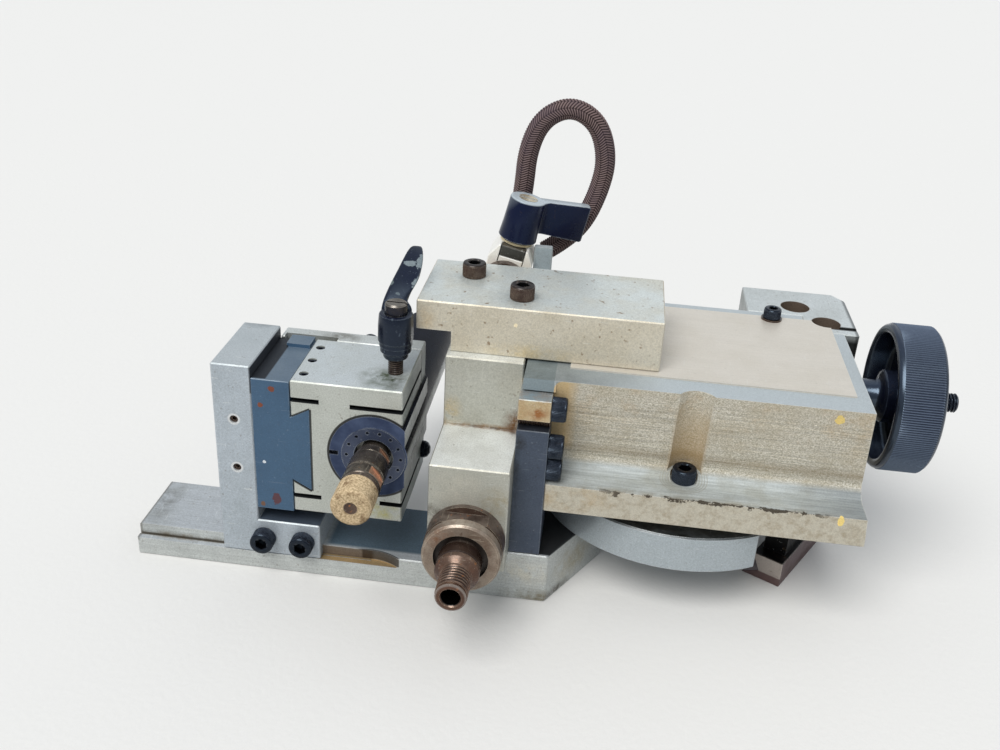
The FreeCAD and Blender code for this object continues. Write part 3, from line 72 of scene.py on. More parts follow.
class Graph:
    def __init__(self, name):
        self.material = bpy.data.materials.new(name)
        self.material.use_nodes = True
        self.tree = self.material.node_tree
        self.shader = self.tree.nodes["Principled BSDF"]
        where = self.node("TexCoord")
        self.place = where.outputs["Object"]
        fromCorner = self.vector("SUBTRACT", self.place, tuple(barCorner))
        self.spotMm = self.node("VectorMath", {0: fromCorner, "Scale": 1 / mm}, operation="SCALE").outputs[0]
        self.x, self.y, self.z = self.node("SeparateXYZ", {"Vector": self.spotMm}).outputs
        self.axes = {"x": self.x, "y": self.y, "z": self.z}
        faces = self.node("SeparateXYZ", {"Vector": where.outputs["Normal"]})
        self.right, self.back, self.up = faces.outputs

    def node(self, kind, inputs=None, **settings):
        made = self.tree.nodes.new("ShaderNode" + kind)
        for key, value in settings.items():
            setattr(made, key, value)
        for key, value in (inputs or {}).items():
            self.plug(value, made.inputs[key])
        return made

    def plug(self, value, socket):
        if isinstance(value, bpy.types.NodeSocket):
            self.tree.links.new(value, socket)
        else:
            socket.default_value = value

    def calc(self, operation, first, second=0.0):
        return self.node("Math", {0: first, 1: second}, operation=operation).outputs[0]

    def vector(self, operation, first, second=None):
        made = self.node("VectorMath", {0: first} if second is None else {0: first, 1: second}, operation=operation)
        isNumber = operation in ("LENGTH", "DISTANCE", "DOT_PRODUCT")
        return made.outputs["Value" if isNumber else "Vector"]

    def both(self, *masks):
        result = masks[0]
        for mask in masks[1:]:
            result = self.calc("MULTIPLY", result, mask)
        return result

    def span(self, value, low, high, start=0.0, end=1.0):
        made = self.node("MapRange", {"Value": value, "From Min": low, "From Max": high,
                                      "To Min": start, "To Max": end})
        return made.outputs["Result"]

    def between(self, value, low, high, soft):
        # 1 from low to high, fading to 0 outside
        rising = self.span(value, low - soft, low + soft)
        return self.both(rising, self.span(value, high - soft, high + soft, 1.0, 0.0))

    def paint(self, under, mask, layer, amount=1.0):
        made = self.node("Mix", data_type="RGBA")
        share = mask if amount == 1.0 else self.calc("MULTIPLY", mask, amount)
        for value, name in ((share, "Factor"), (under, "A"), (layer, "B")):
            self.plug(value, made.inputs[name])
        return made.outputs["Result"]

    def coats(self, colour, *layers):
        # several paints over each other: mask, colour and amount of each
        for layer in layers:
            colour = self.paint(colour, *layer)
        return colour

    def shade(self, colour, level):
        return self.node("HueSaturation", {"Color": colour, "Value": level}).outputs["Color"]

    def grain(self, scale, detail=3.0, rough=0.55, stretch=(1, 1, 1), turn=(0, 0, 0), shift=(0, 0, 0)):
        mapped = self.node("Mapping", {"Vector": self.place, "Location": shift, "Rotation": turn, "Scale": stretch})
        made = self.node("TexNoise", {"Vector": mapped.outputs["Vector"], "Scale": scale,
                                      "Detail": detail, "Roughness": rough})
        return made.outputs["Fac"]

    def near(self, point, size):
        # 1 at a point, fading to 0 on an egg of that half size round it
        scaled = self.vector("DIVIDE", self.vector("SUBTRACT", self.spotMm, point), size)
        return self.span(self.vector("LENGTH", scaled), 0.3, 1.0, 1.0, 0.0)

    def zone(self, xs, ys, zs, soft):
        softness = soft if isinstance(soft, tuple) else (soft, soft, soft)
        return self.both(*(self.between(value, low, high, blur) for value, (low, high), blur
                           in zip(self.axes.values(), (xs, ys, zs), softness)))

    def away(self, axis, centre):
        # mm from a line along that axis through a point
        offs = [self.calc("SUBTRACT", value, middle)
                for (name, value), middle in zip(self.axes.items(), centre) if name != axis]
        return self.far(*offs)

    def far(self, first, second):
        squares = [self.calc("MULTIPLY", off, off) for off in (first, second)]
        return self.calc("SQRT", self.calc("ADD", *squares))

    def marked(self, name):
        return self.node("Attribute", attribute_name=name).outputs["Fac"]

    def edge(self, radius):
        # 1 along sharp edges, from the difference of the rounded and the true normal
        rounded = self.node("Bevel", {"Radius": radius}, samples=4).outputs["Normal"]
        plain = self.node("NewGeometry").outputs["Normal"]
        return self.span(self.vector("DOT_PRODUCT", rounded, plain), 0.995, 0.86)

    def worn(self, width):
        # the edge where it is rubbed to the metal and where it catches the light, a painted highlight, with gaps
        return self.both(self.edge(width), self.span(self.grain(170, 4.0, 0.7), 0.33, 0.55))

    def bump(self, height, depth, under=None):
        made = self.node("Bump", {"Height": height, "Distance": depth, "Strength": 1.0})
        if under is not None:
            self.plug(under, made.inputs["Normal"])
        return made.outputs["Normal"]

    def finish(self, colour, roughness, normal, metallic, gloss=0.5):
        sockets = {"Base Color": colour, "Roughness": roughness, "Normal": normal, "Metallic": metallic,
                   "Specular IOR Level": gloss}
        for name, value in sockets.items():
            self.plug(value, self.shader.inputs[name])
        return self.material


# Metal finishes: colours as they look on screen, widths and depths in mm

plainMetal = dict(
    side=(178, 178, 170), top=(186, 191, 192), cloud=(150, 148, 138),
    cloudAmount=0.4, cloudScale=40, grit=0.18, gritScale=1300,
    speck=(96, 78, 56), speckAmount=0.35, speckScale=420,
    edge=(226, 229, 226), edgeAmount=0.6, edgeWidth=0.6,
    rough=(0.36, 0.56), metal=0.35, gloss=0.5, grainDepth=0.02, castDepth=0.0, castScale=700,
    scratch=0.25, stains=[], chips=[], lines=0.0,
    zones=[], rounds=[], strokes=[], strokeHalf=0.85, calm=0.0, front=None, tint=(1, 1, 1, 1),
    inside=(5, 5, 7), bare=(190, 180, 160),
)


def metalFinish(name, changes):
    look = named({**plainMetal, **changes})
    for key in ("side", "top", "front", "cloud", "speck", "edge", "inside", "bare"):
        colour = getattr(look, key)
        setattr(look, key, colour and tone(*colour))
    g = Graph(name)
    # faces turned up take the top colour, partly their own finish and partly painted light: paler and bluer where a top
    # is lit by the sky, black where it is a painted shadow
    colour = g.paint(look.side, g.span(g.up, 0.3, 0.8), look.top)
    if look.front:
        colour = g.paint(colour, g.span(g.back, -0.7, -0.85), look.front)
    if look.calm:
        # painted shade on broken edges that lean to the light, so that they are no brighter than the faces beside them
        colour = g.paint(colour, g.between(g.up, 0.5, 0.9, 0.08), look.cloud, look.calm)
    cloud = g.span(g.grain(look.cloudScale, 5.0, 0.62), 0.42, 0.68)
    colour = g.paint(colour, cloud, look.cloud, look.cloudAmount)
    for place, size, stain, strength in look.stains:
        ragged = g.span(g.grain(130, 5.0, 0.7, shift=(place[0] * mm, 0, 0)), 0.36, 0.6)
        colour = g.paint(colour, g.both(g.near(place, size), ragged), tone(*stain), strength)
    speck = g.span(g.grain(look.speckScale, 2.0, 0.5, shift=(0.7, 0.2, 0.5)), 0.66, 0.74)
    colour = g.paint(colour, speck, look.speck, look.speckAmount)
    # straight scratches both ways
    scratchA = g.span(g.grain(900, 1.0, 0.4, (1, 0.1, 1), (0.3, 0.5, 0.4)), 0.71, 0.75)
    scratchB = g.span(g.grain(800, 1.0, 0.4, (0.12, 1, 1), (0.2, 0.9, 1.1)), 0.72, 0.76)
    colour = g.paint(colour, g.calc("MAXIMUM", scratchA, scratchB), look.edge, look.scratch)
    if look.lines:
        lines = g.grain(1000, 2.0, 0.6, (0.03, 1, 1))
        colour = g.shade(colour, g.span(lines, 0.35, 0.65, 1 - look.lines, 1 + look.lines))
    # pale edges: partly rubbed metal, partly a painted highlight
    colour = g.paint(colour, g.worn(look.edgeWidth * mm), look.edge, look.edgeAmount)
    for place, size, chip in look.chips:
        ragged = g.span(g.grain(320, 5.0, 0.7, shift=(0, place[1] * mm, 0)), 0.0, 1.0, -0.3, 1.3)
        ragged = g.calc("ADD", g.calc("MULTIPLY", g.near(place, size), 0.8), ragged)
        colour = g.paint(colour, g.span(ragged, 0.93, 0.98), tone(*chip))
    # boxes and rings of another colour: stains and rust, and painted shade inside slits, bores and gaps and on faces
    # turned from the light
    for xs, ys, zs, soft, layer, strength in look.zones:
        colour = g.paint(colour, g.zone(xs, ys, zs, soft), tone(*layer), strength)
    for axis, centre, radii, ends, soft, layer, strength in look.rounds:
        band = g.both(g.between(g.away(axis, centre), *radii, soft), g.between(g.axes[axis], *ends, 0.2))
        colour = g.paint(colour, band, tone(*layer), strength)
    # dark lines on a front face, from (x, z) to (x, z)
    half = look.strokeHalf
    for (x0, z0), (x1, z1) in look.strokes:
        length = math.hypot(x1 - x0, z1 - z0)
        dx, dz = (x1 - x0) / length, (z1 - z0) / length
        offX, offZ = g.calc("SUBTRACT", g.x, x0), g.calc("SUBTRACT", g.z, z0)
        along = g.calc("ADD", g.calc("MULTIPLY", offX, dx), g.calc("MULTIPLY", offZ, dz))
        across = g.calc("SUBTRACT", g.calc("MULTIPLY", offX, dz), g.calc("MULTIPLY", offZ, dx))
        line = g.both(g.between(along, 0, length, 0.3), g.between(across, -half, half, 0.15), g.span(g.y, 0.9, 0.6))
        colour = g.paint(colour, line, look.inside, 0.92)
    # marked places in the bare colour: rubbed metal, with a painted highlight on spanner flats and knurl tips
    colour = g.paint(colour, g.marked("bare"), look.bare, 0.85)
    # the marked inside of sockets painted near black, a painted shade
    colour = g.paint(colour, g.marked("inside"), look.inside)
    grit = g.grain(look.gritScale, 3.0, 0.7)
    colour = g.shade(colour, g.span(grit, 0.3, 0.7, 1 - look.grit, 1 + look.grit))
    roughness = g.span(cloud, 0.0, 1.0, *look.rough)
    normal = g.bump(grit, look.grainDepth * mm)
    if look.castDepth:
        normal = g.bump(g.grain(look.castScale, 4.0, 0.65), look.castDepth * mm, normal)
    g.shader.inputs["Specular Tint"].default_value = look.tint
    return g.finish(colour, roughness, normal, look.metal, look.gloss)


groundSteel = metalFinish("groundSteel", {})
baseSteel = metalFinish("baseSteel", dict(
    side=(198, 202, 200), top=(182, 187, 192), cloud=(150, 154, 152), cloudAmount=0.35,
    lines=0.07, calm=0.6, stains=[
        # a dark blue-grey patch on the bar's top beside the block: partly oil, partly painted shade
        ((190, 22, 17.3), (36, 34, 8), (34, 43, 50), 0.8),
        ((26, 4.5, 11.5), (34, 3, 3), (116, 102, 78), 0.8),
        ((6, 30, 17.3), (9, 30, 5), (128, 130, 128), 0.8),
        ((228, 0, 3), (26, 4, 6), (122, 112, 86), 0.8),
        ((221, 0, 18), (20, 4, 12), (206, 203, 190), 0.8),
        ((250, 22, 15), (24, 24, 14), (166, 158, 134), 0.8),
        # this patch makes the slanted end darker towards its bottom
        ((240, 10, 2), (16, 16, 5), (70, 62, 48), 0.9),
    ],
    zones=[
        # the bar's top in the middle painted dark blue-grey: partly oil, partly painted shade
        ((109, 204), (6.6, 60), (16.6, 19), (2, 1.2, 0.2), (72, 95, 112), 0.93),
        ((-2, 52), (3.4, 5.4), (8, 11.5), (1, 0.2, 0.3), (84, 74, 58), 0.8),
        ((-2, 1.4), (-2, 60), (9, 18), (0.5, 1, 0.5), (120, 118, 112), 0.7),
        ((104, 163), (0.3, 6), (10.4, 11.6), (1, 0.3, 0.3), (168, 136, 78), 0.85),
        ((104, 136), (4.6, 5.6), (11.4, 17.1), (1, 0.2, 0.3), (86, 62, 32), 0.85),
        # the raised top under the disc painted near black, a painted shadow
        ((199, 262), (1.6, 60), (30.2, 33), (0.5, 0.5, 0.2), (13, 15, 19), 0.95),
    ],
    rounds=[("z", (135, -22.5, 0), (27.1, 28.1), (11.7, 17.4), 0.1, (52, 38, 22), 0.9),
            ("z", (135, -22.5, 0), (28.0, 28.6), (17, 18), 0.15, (36, 34, 30), 0.8)],
))
bracketSteel = metalFinish("bracketSteel", dict(
    side=(181, 190, 198), top=(184, 191, 195), cloud=(160, 168, 172), scratch=0.35, calm=0.8,
    stains=[((62, 53, 121), (16, 8, 14), (60, 66, 74), 0.8)],
    # painted shadow: dark on the bracket's right face above the slide, and on the foot's top under the slide
    zones=[((71.9, 73), (-1, 60), (112, 127), 0.4, (20, 26, 38), 0.95),
           ((72.6, 108), (0.7, 60), (32.4, 34), 0.3, (46, 62, 82), 0.9)],
    rounds=[("y", (62.2, 0, z), (2.2, 3.4), (-2, 2), 0.3, (226, 228, 228), 0.8) for z in (65.9, 95.7)],
))
slitDark = (12, 13, 16)
slitWidth = 2.7
# the inside of each slit painted near black, a painted shade: left, right and bottom of each slit
slits = [((left, right), (-2, 60), (low, low + slitWidth), 0.1, slitDark, 0.96) for left, right, low in (
    (90, 108.6, 109.85), (90, 108.6, 50.85), (124.9, 156, 109.05), (140.7, 156, 51.65))]
blockSteel = metalFinish("blockSteel", dict(
    side=(193, 196, 189), top=(196, 203, 206), cloud=(170, 173, 164), calm=0.8,
    strokes=[((92.8, 100.4), (103.5, 106.3)), ((103.5, 106.3), (103.5, 55.9)), ((103.5, 55.9), (92.8, 61.8))],
    stains=[
        ((141, 15, 122.2), (17, 13, 5), (74, 84, 62), 1.0),
        ((142, 6, 122.2), (14, 8, 5), (120, 128, 118), 0.8),
        ((142, 0, 48), (14, 6, 7), (186, 180, 118), 0.9),
        ((150, 0, 112), (10, 5, 6), (176, 178, 168), 0.6),
    ],
    # painted shade: the block's right face darker, the dovetail groove and the gap round the sleeve near black
    zones=[((152.6, 153.2), (1, 60), (43, 121.5), 0.4, (150, 158, 160), 0.75), *slits,
           ((93.5, 104.6), (0.5, 60), (54.8, 107.2), 0.1, slitDark, 0.9)],
    rounds=[("y", spindleAxis, (23.5, 25.3), (-1, 60), 0.2, slitDark, 0.95)],
))
armSteel = metalFinish("armSteel", dict(
    side=(183, 183, 173), top=(232, 235, 233), cloud=(160, 156, 140), cloudAmount=0.35, calm=0.8,
    stains=[
        ((190, 24.5, 93.2), (34, 3, 2.6), (142, 102, 48), 1.0),
        ((194, 24.5, 92.8), (26, 2, 1.5), (92, 62, 30), 1.0),
        ((210, 24.5, 97), (9, 6, 11), (108, 70, 30), 1.0),
        ((172, 24.5, 101), (10, 5, 12), (196, 172, 120), 0.7),
        ((211, 22, 90), (5, 6, 6), (24, 21, 20), 1.0),
        ((172, -19, 62), (7, 5, 9), (70, 60, 48), 1.0),
        ((207, -19, 74), (12, 5, 12), (160, 146, 112), 0.7),
        ((186, -19, 80), (16, 5, 12), (206, 202, 188), 0.7),
    ],
    # the arm's left face painted darker, a painted shadow of the block and sleeve
    zones=[((170, 170.6), (-19, 24), (31, 92.4), 0.5, (86, 87, 87), 0.8)],
))
barSteel = metalFinish("barSteel", dict(
    side=(208, 201, 184), top=(206, 212, 210), cloud=(190, 179, 155), calm=0.8,
    speck=(120, 92, 56), speckAmount=0.7, speckScale=300, castDepth=0.02, castScale=500,
    stains=[
        ((205, 46, 161.2), (20, 16, 5), (168, 176, 176), 0.7),
        ((177, 66, 161.2), (18, 12, 5), (170, 178, 178), 0.7),
        ((215, 30.6, 137), (30, 4, 6), (206, 184, 134), 0.6),
        ((158, 30.6, 150), (7, 4, 10), (196, 176, 142), 0.7),
    ],
    chips=[((206, 30.6, 152), (1.8, 4, 1.8), (252, 236, 200))],
))
discSteel = metalFinish("discSteel", dict(
    # the top painted black, a painted shadow under the housing's flange
    side=(174, 183, 188), top=(7, 7, 8), cloud=(156, 165, 170), rough=(0.3, 0.45),
    cloudAmount=0.25, scratch=0.2, speckAmount=0.15,
))
rearSteel = metalFinish("rearSteel", dict(
    side=(156, 161, 161), top=(193, 199, 200), cloud=(166, 170, 168),
    # painted shade: the right face darker, the wing's front and the slit near black
    zones=[((396, 400), (100, 170), (80, 134), 0.6, (82, 86, 86), 0.8),
           ((389.4, 399), (105, 107.4), (80, 129), (0.4, 0.4, 1.5), (16, 16, 18), 0.92),
           ((384, 400), (112.4, 117.6), (100, 135), (1, 0.4, 1), (18, 18, 18), 0.92)],
    rounds=[("z", (x, y, 0), (-1, radius), (70, 134.1), 0.15, (104, 78, 54), 0.8)
            for x, y, radius in ((365.6, 142.2, 8.75), (381, 121, 8.55))],
))
plateSatin = metalFinish("plateSatin", dict(
    side=(206, 200, 188), top=(208, 202, 192), cloud=(196, 190, 178), cloudAmount=0.35,
    grit=0.05, rough=(0.42, 0.55), metal=0.3, speckAmount=0.12, scratch=0.15, edgeAmount=0.4,
    lines=0.02,
))
blockRust = metalFinish("blockRust", dict(
    side=(200, 182, 146), top=(142, 156, 162), cloud=(164, 116, 58), cloudAmount=0.55,
    cloudScale=110, castDepth=0.05, stains=[((222, 1, 118), (8, 4, 6), (148, 88, 30), 0.9)],
))
bluedSlide = metalFinish("bluedSlide", dict(
    side=(66, 96, 124), top=(100, 116, 131), cloud=(58, 82, 106), grit=0.12,
    speckAmount=0.1, edge=(158, 170, 182), edgeAmount=0.7, rough=(0.4, 0.55),
    # the zone is a painted shadow, dark on the slide's top beside the bracket
    metal=0.2, scratch=0.12, zones=[((70, 80), (1.6, 60), (120.5, 122), 0.35, (14, 18, 26), 0.95)],
    chips=[
        ((83.2, 0.4, 116), (2.6, 3, 2.6), (122, 66, 48)),
        ((76.6, 0.4, 106), (2.4, 3, 2.4), (128, 70, 48)),
        ((83.6, 0.4, 48), (4, 3, 6), (88, 56, 64)),
        ((75.4, 0.4, 44), (2, 3, 2.4), (112, 82, 64)),
        ((77.4, 0.4, 71), (1.2, 3, 1.2), (224, 230, 236)),
    ],
))
bluedStrip = metalFinish("bluedStrip", dict(
    side=(68, 78, 94), top=(40, 40, 44), cloud=(58, 68, 84), speck=(44, 40, 40),
    edge=(150, 160, 168), edgeAmount=0.7, metal=0.25, scratch=0.2,
    stains=[((214, 1, 98), (5, 4, 8), (26, 26, 30), 1.0), ((213, 0, 70), (3, 4, 50), (48, 54, 64), 0.8)],
))
rearPlateSteel = metalFinish("rearPlateSteel", dict(
    side=(170, 174, 172), top=(198, 203, 203), cloud=(158, 160, 154),
    stains=[((106, 58, 121), (14, 8, 6), (96, 92, 80), 0.8)],
    # the zone is painted shade, the plate's right face darker
    zones=[((152.6, 153.2), (50, 70), (43, 121.5), 0.4, (150, 158, 160), 0.75)],
))
pinRing = metalFinish("pinRing", dict(
    side=(66, 75, 97), top=(70, 80, 100), cloud=(40, 46, 62), edge=(160, 166, 174),
    edgeAmount=0.95, rough=(0.28, 0.45),
))
rustSteel = metalFinish("rustSteel", dict(
    side=(92, 74, 64), top=(110, 98, 90), cloud=(50, 36, 29), cloudAmount=0.85,
    cloudScale=110, speck=(176, 112, 62), speckAmount=0.7, edge=(196, 184, 166),
    edgeAmount=0.75, rough=(0.3, 0.55), metal=0.45, castDepth=0.04,
))
wornRing = metalFinish("wornRing", dict(
    side=(146, 132, 118), top=(158, 146, 134), cloud=(96, 72, 54), cloudAmount=0.7,
    cloudScale=120, speck=(84, 52, 34), speckAmount=0.7, speckScale=260, edge=(226, 212, 190),
    rough=(0.32, 0.55), metal=0.4, stains=[((180, -38, 64), (9, 5, 9), (124, 78, 46), 0.8)],
    rounds=[("y", noseAxis, (-1, 14.4), (-38.0, -30), 0.2, (30, 24, 22), 0.92)],
))
threadRust = metalFinish("threadRust", dict(
    side=(94, 66, 51), top=(120, 98, 84), cloud=(48, 32, 27), cloudAmount=0.7,
    cloudScale=150, speck=(160, 104, 62), speckAmount=0.7, speckScale=300, edge=(206, 192, 174),
    edgeWidth=0.4, rough=(0.22, 0.4), metal=0.45,
    rounds=[("y", noseAxis, (8.5, 12), (-46.4, -37), 0.4, (42, 30, 26), 0.85),
            ("y", noseAxis, (5.2, 7.65), (-66.4, -52), 0.2, (26, 15, 12), 0.92),
            ("y", noseAxis, (7.0, 9), (-69.3, -67.6), 0.3, (150, 142, 136), 0.6),
            # the bore painted near black, a painted shade
            ("y", noseAxis, (-1, 4.95), (-70, -36), 0.15, (8, 7, 7), 1.0)],
))
colletSteel = metalFinish("colletSteel", dict(
    side=(62, 54, 48), top=(100, 92, 84), cloud=(36, 30, 27), cloudAmount=0.75,
    cloudScale=130, speck=(140, 98, 60), edge=(206, 196, 178), edgeAmount=0.95,
    # the pale colour of the flats is partly a painted highlight
    edgeWidth=0.5, rough=(0.2, 0.38), metal=0.6, bare=(234, 182, 150),
))
footSteel = metalFinish("footSteel", dict(
    # the top painted black, a painted shadow under the disc and housing
    side=(96, 76, 77), top=(7, 7, 8), front=(178, 168, 160), cloud=(78, 56, 54),
    edge=(196, 186, 176), edgeAmount=0.7, metal=0.2, grit=0.1,
    zones=[((330, 420), (20, 120), (-1, 5.3), (1, 1, 0.4), (84, 58, 58), 0.9)],
))
# painted near black all over, a painted shade under the disc
riserSteel = metalFinish("riserSteel", dict(
    side=(11, 11, 12), top=(11, 11, 12), cloud=(8, 8, 8), edgeAmount=0.1, metal=0.0, gloss=0.1,
))
blueSheen = (0.6, 0.78, 1.0, 1.0)
blackScrew = metalFinish("blackScrew", dict(
    side=(9, 11, 19), top=(20, 23, 32), cloud=(5, 6, 11), edge=(104, 114, 132),
    edgeAmount=0.6, edgeWidth=0.35, rough=(0.16, 0.26), metal=0.0, gloss=0.4, tint=blueSheen,
    speckAmount=0.15, scratch=0.06,
))
brownScrew = metalFinish("brownScrew", dict(
    side=(56, 35, 26), top=(38, 32, 30), cloud=(26, 17, 13), edge=(158, 142, 124),
    edgeAmount=0.7, edgeWidth=0.4, rough=(0.28, 0.45), metal=0.2, cloudScale=160,
))
slottedSteel = metalFinish("slottedSteel", dict(
    side=(30, 32, 44), top=(128, 122, 114), cloud=(60, 55, 50), cloudScale=180,
    # the zone is painted shade, the screw's slot near black
    zones=[((136, 153), (21.0, 22.8), (150, 161.6), 0.2, (12, 12, 14), 0.9)],
    cloudAmount=0.6, edge=(206, 198, 186), edgeWidth=0.5, rough=(0.25, 0.4), metal=0.6,
))
brightScrew = metalFinish("brightScrew", dict(
    side=(130, 118, 98), top=(206, 194, 168), cloud=(150, 128, 92), rough=(0.25, 0.4),
    metal=0.6, cloudScale=160,
))
nickelBody = metalFinish("nickelBody", dict(
    side=(247, 243, 234), top=(242, 241, 237), cloud=(232, 225, 210), rough=(0.3, 0.42),
    metal=0.1, speckAmount=0.1, scratch=0.08, grit=0.05,
))
stemSteel = metalFinish("stemSteel", dict(
    side=(66, 65, 60), top=(86, 82, 75), cloud=(46, 44, 41), rough=(0.3, 0.45),
    metal=0.4, edgeAmount=0.4, edgeWidth=0.4,
))
hoseBlockSteel = metalFinish("hoseBlockSteel", dict(
    side=(170, 182, 188), top=(190, 198, 202), cloud=(154, 164, 168),
))
paintChip = (118, 128, 132)
navyLever = metalFinish("navyLever", dict(
    side=(11, 13, 28), top=(17, 20, 38), cloud=(6, 7, 12), speck=(92, 102, 112),
    speckAmount=0.5, speckScale=460, edge=(118, 128, 136), edgeAmount=0.85, edgeWidth=0.7,
    rough=(0.24, 0.38), metal=0.0, tint=blueSheen, scratch=0.04, grit=0.3, chips=[
        ((151, 54, 172), (3.4, 12, 7), paintChip),
        ((151, 41, 165.5), (3, 9, 6), paintChip),
        ((138.6, 40, 165), (2.4, 6, 3), (92, 102, 102)),
        ((146, 50, 173), (5, 3.6, 3), paintChip),
        ((143, 33, 162), (2.6, 2, 2), (84, 92, 96)),
    ],
))
navyValve = metalFinish("navyValve", dict(
    side=(9, 13, 44), tint=blueSheen, top=(178, 187, 194), cloud=(8, 10, 24), cloudAmount=0.3,
    edge=(186, 194, 200), edgeAmount=0.8, edgeWidth=0.7, rough=(0.22, 0.34), metal=0.0,
    gloss=0.35, speckAmount=0.1, scratch=0.03, grit=0.06,
))
wheelBlack = metalFinish("wheelBlack", dict(
    side=(13, 16, 28), top=(32, 38, 54), cloud=(8, 10, 18), cloudAmount=0.5,
    edge=(104, 116, 138), edgeAmount=0.55, edgeWidth=0.4, rough=(0.18, 0.3), metal=0.0,
    gloss=0.9, tint=blueSheen, speckAmount=0.1, scratch=0.05, bare=(94, 104, 122),
))
bronze = metalFinish("bronze", dict(
    side=(226, 210, 172), top=(232, 216, 180), cloud=(196, 172, 124), metal=0.4,
))
print("metal finishes made")

# Finishes of a single piece each

housingLook = dict(
    gap=tone(176, 168, 146), crumb=tone(243, 238, 226), blotch=tone(186, 172, 142),
    rust=tone(188, 154, 98), margin=tone(174, 182, 186), ledge=tone(178, 184, 184),
    ledgeBlotch=tone(150, 150, 140), ledgeRust=tone(128, 112, 80), ledgeEnd=tone(140, 146, 148),
    lip=tone(200, 194, 178), grime=tone(132, 108, 68), chip=tone(52, 41, 27),
    leftEnd=tone(224, 194, 142), dot=tone(250, 222, 140), shelf=tone(140, 153, 158),
    shaded=(tone(128, 134, 134), tone(98, 103, 102)), shelfTop=(tone(122, 132, 134), tone(96, 104, 104)),
    ring=tone(148, 146, 134), worn=tone(232, 230, 220),
    dots=[((372.7, 12, 126.4), (3.6, 4, 4.4)), ((381.8, 1, 73.6), (2.4, 4, 4.4))],
    screw=(301.6, 20.4, 76.2), left=229, top=132.6, corner=5,
)


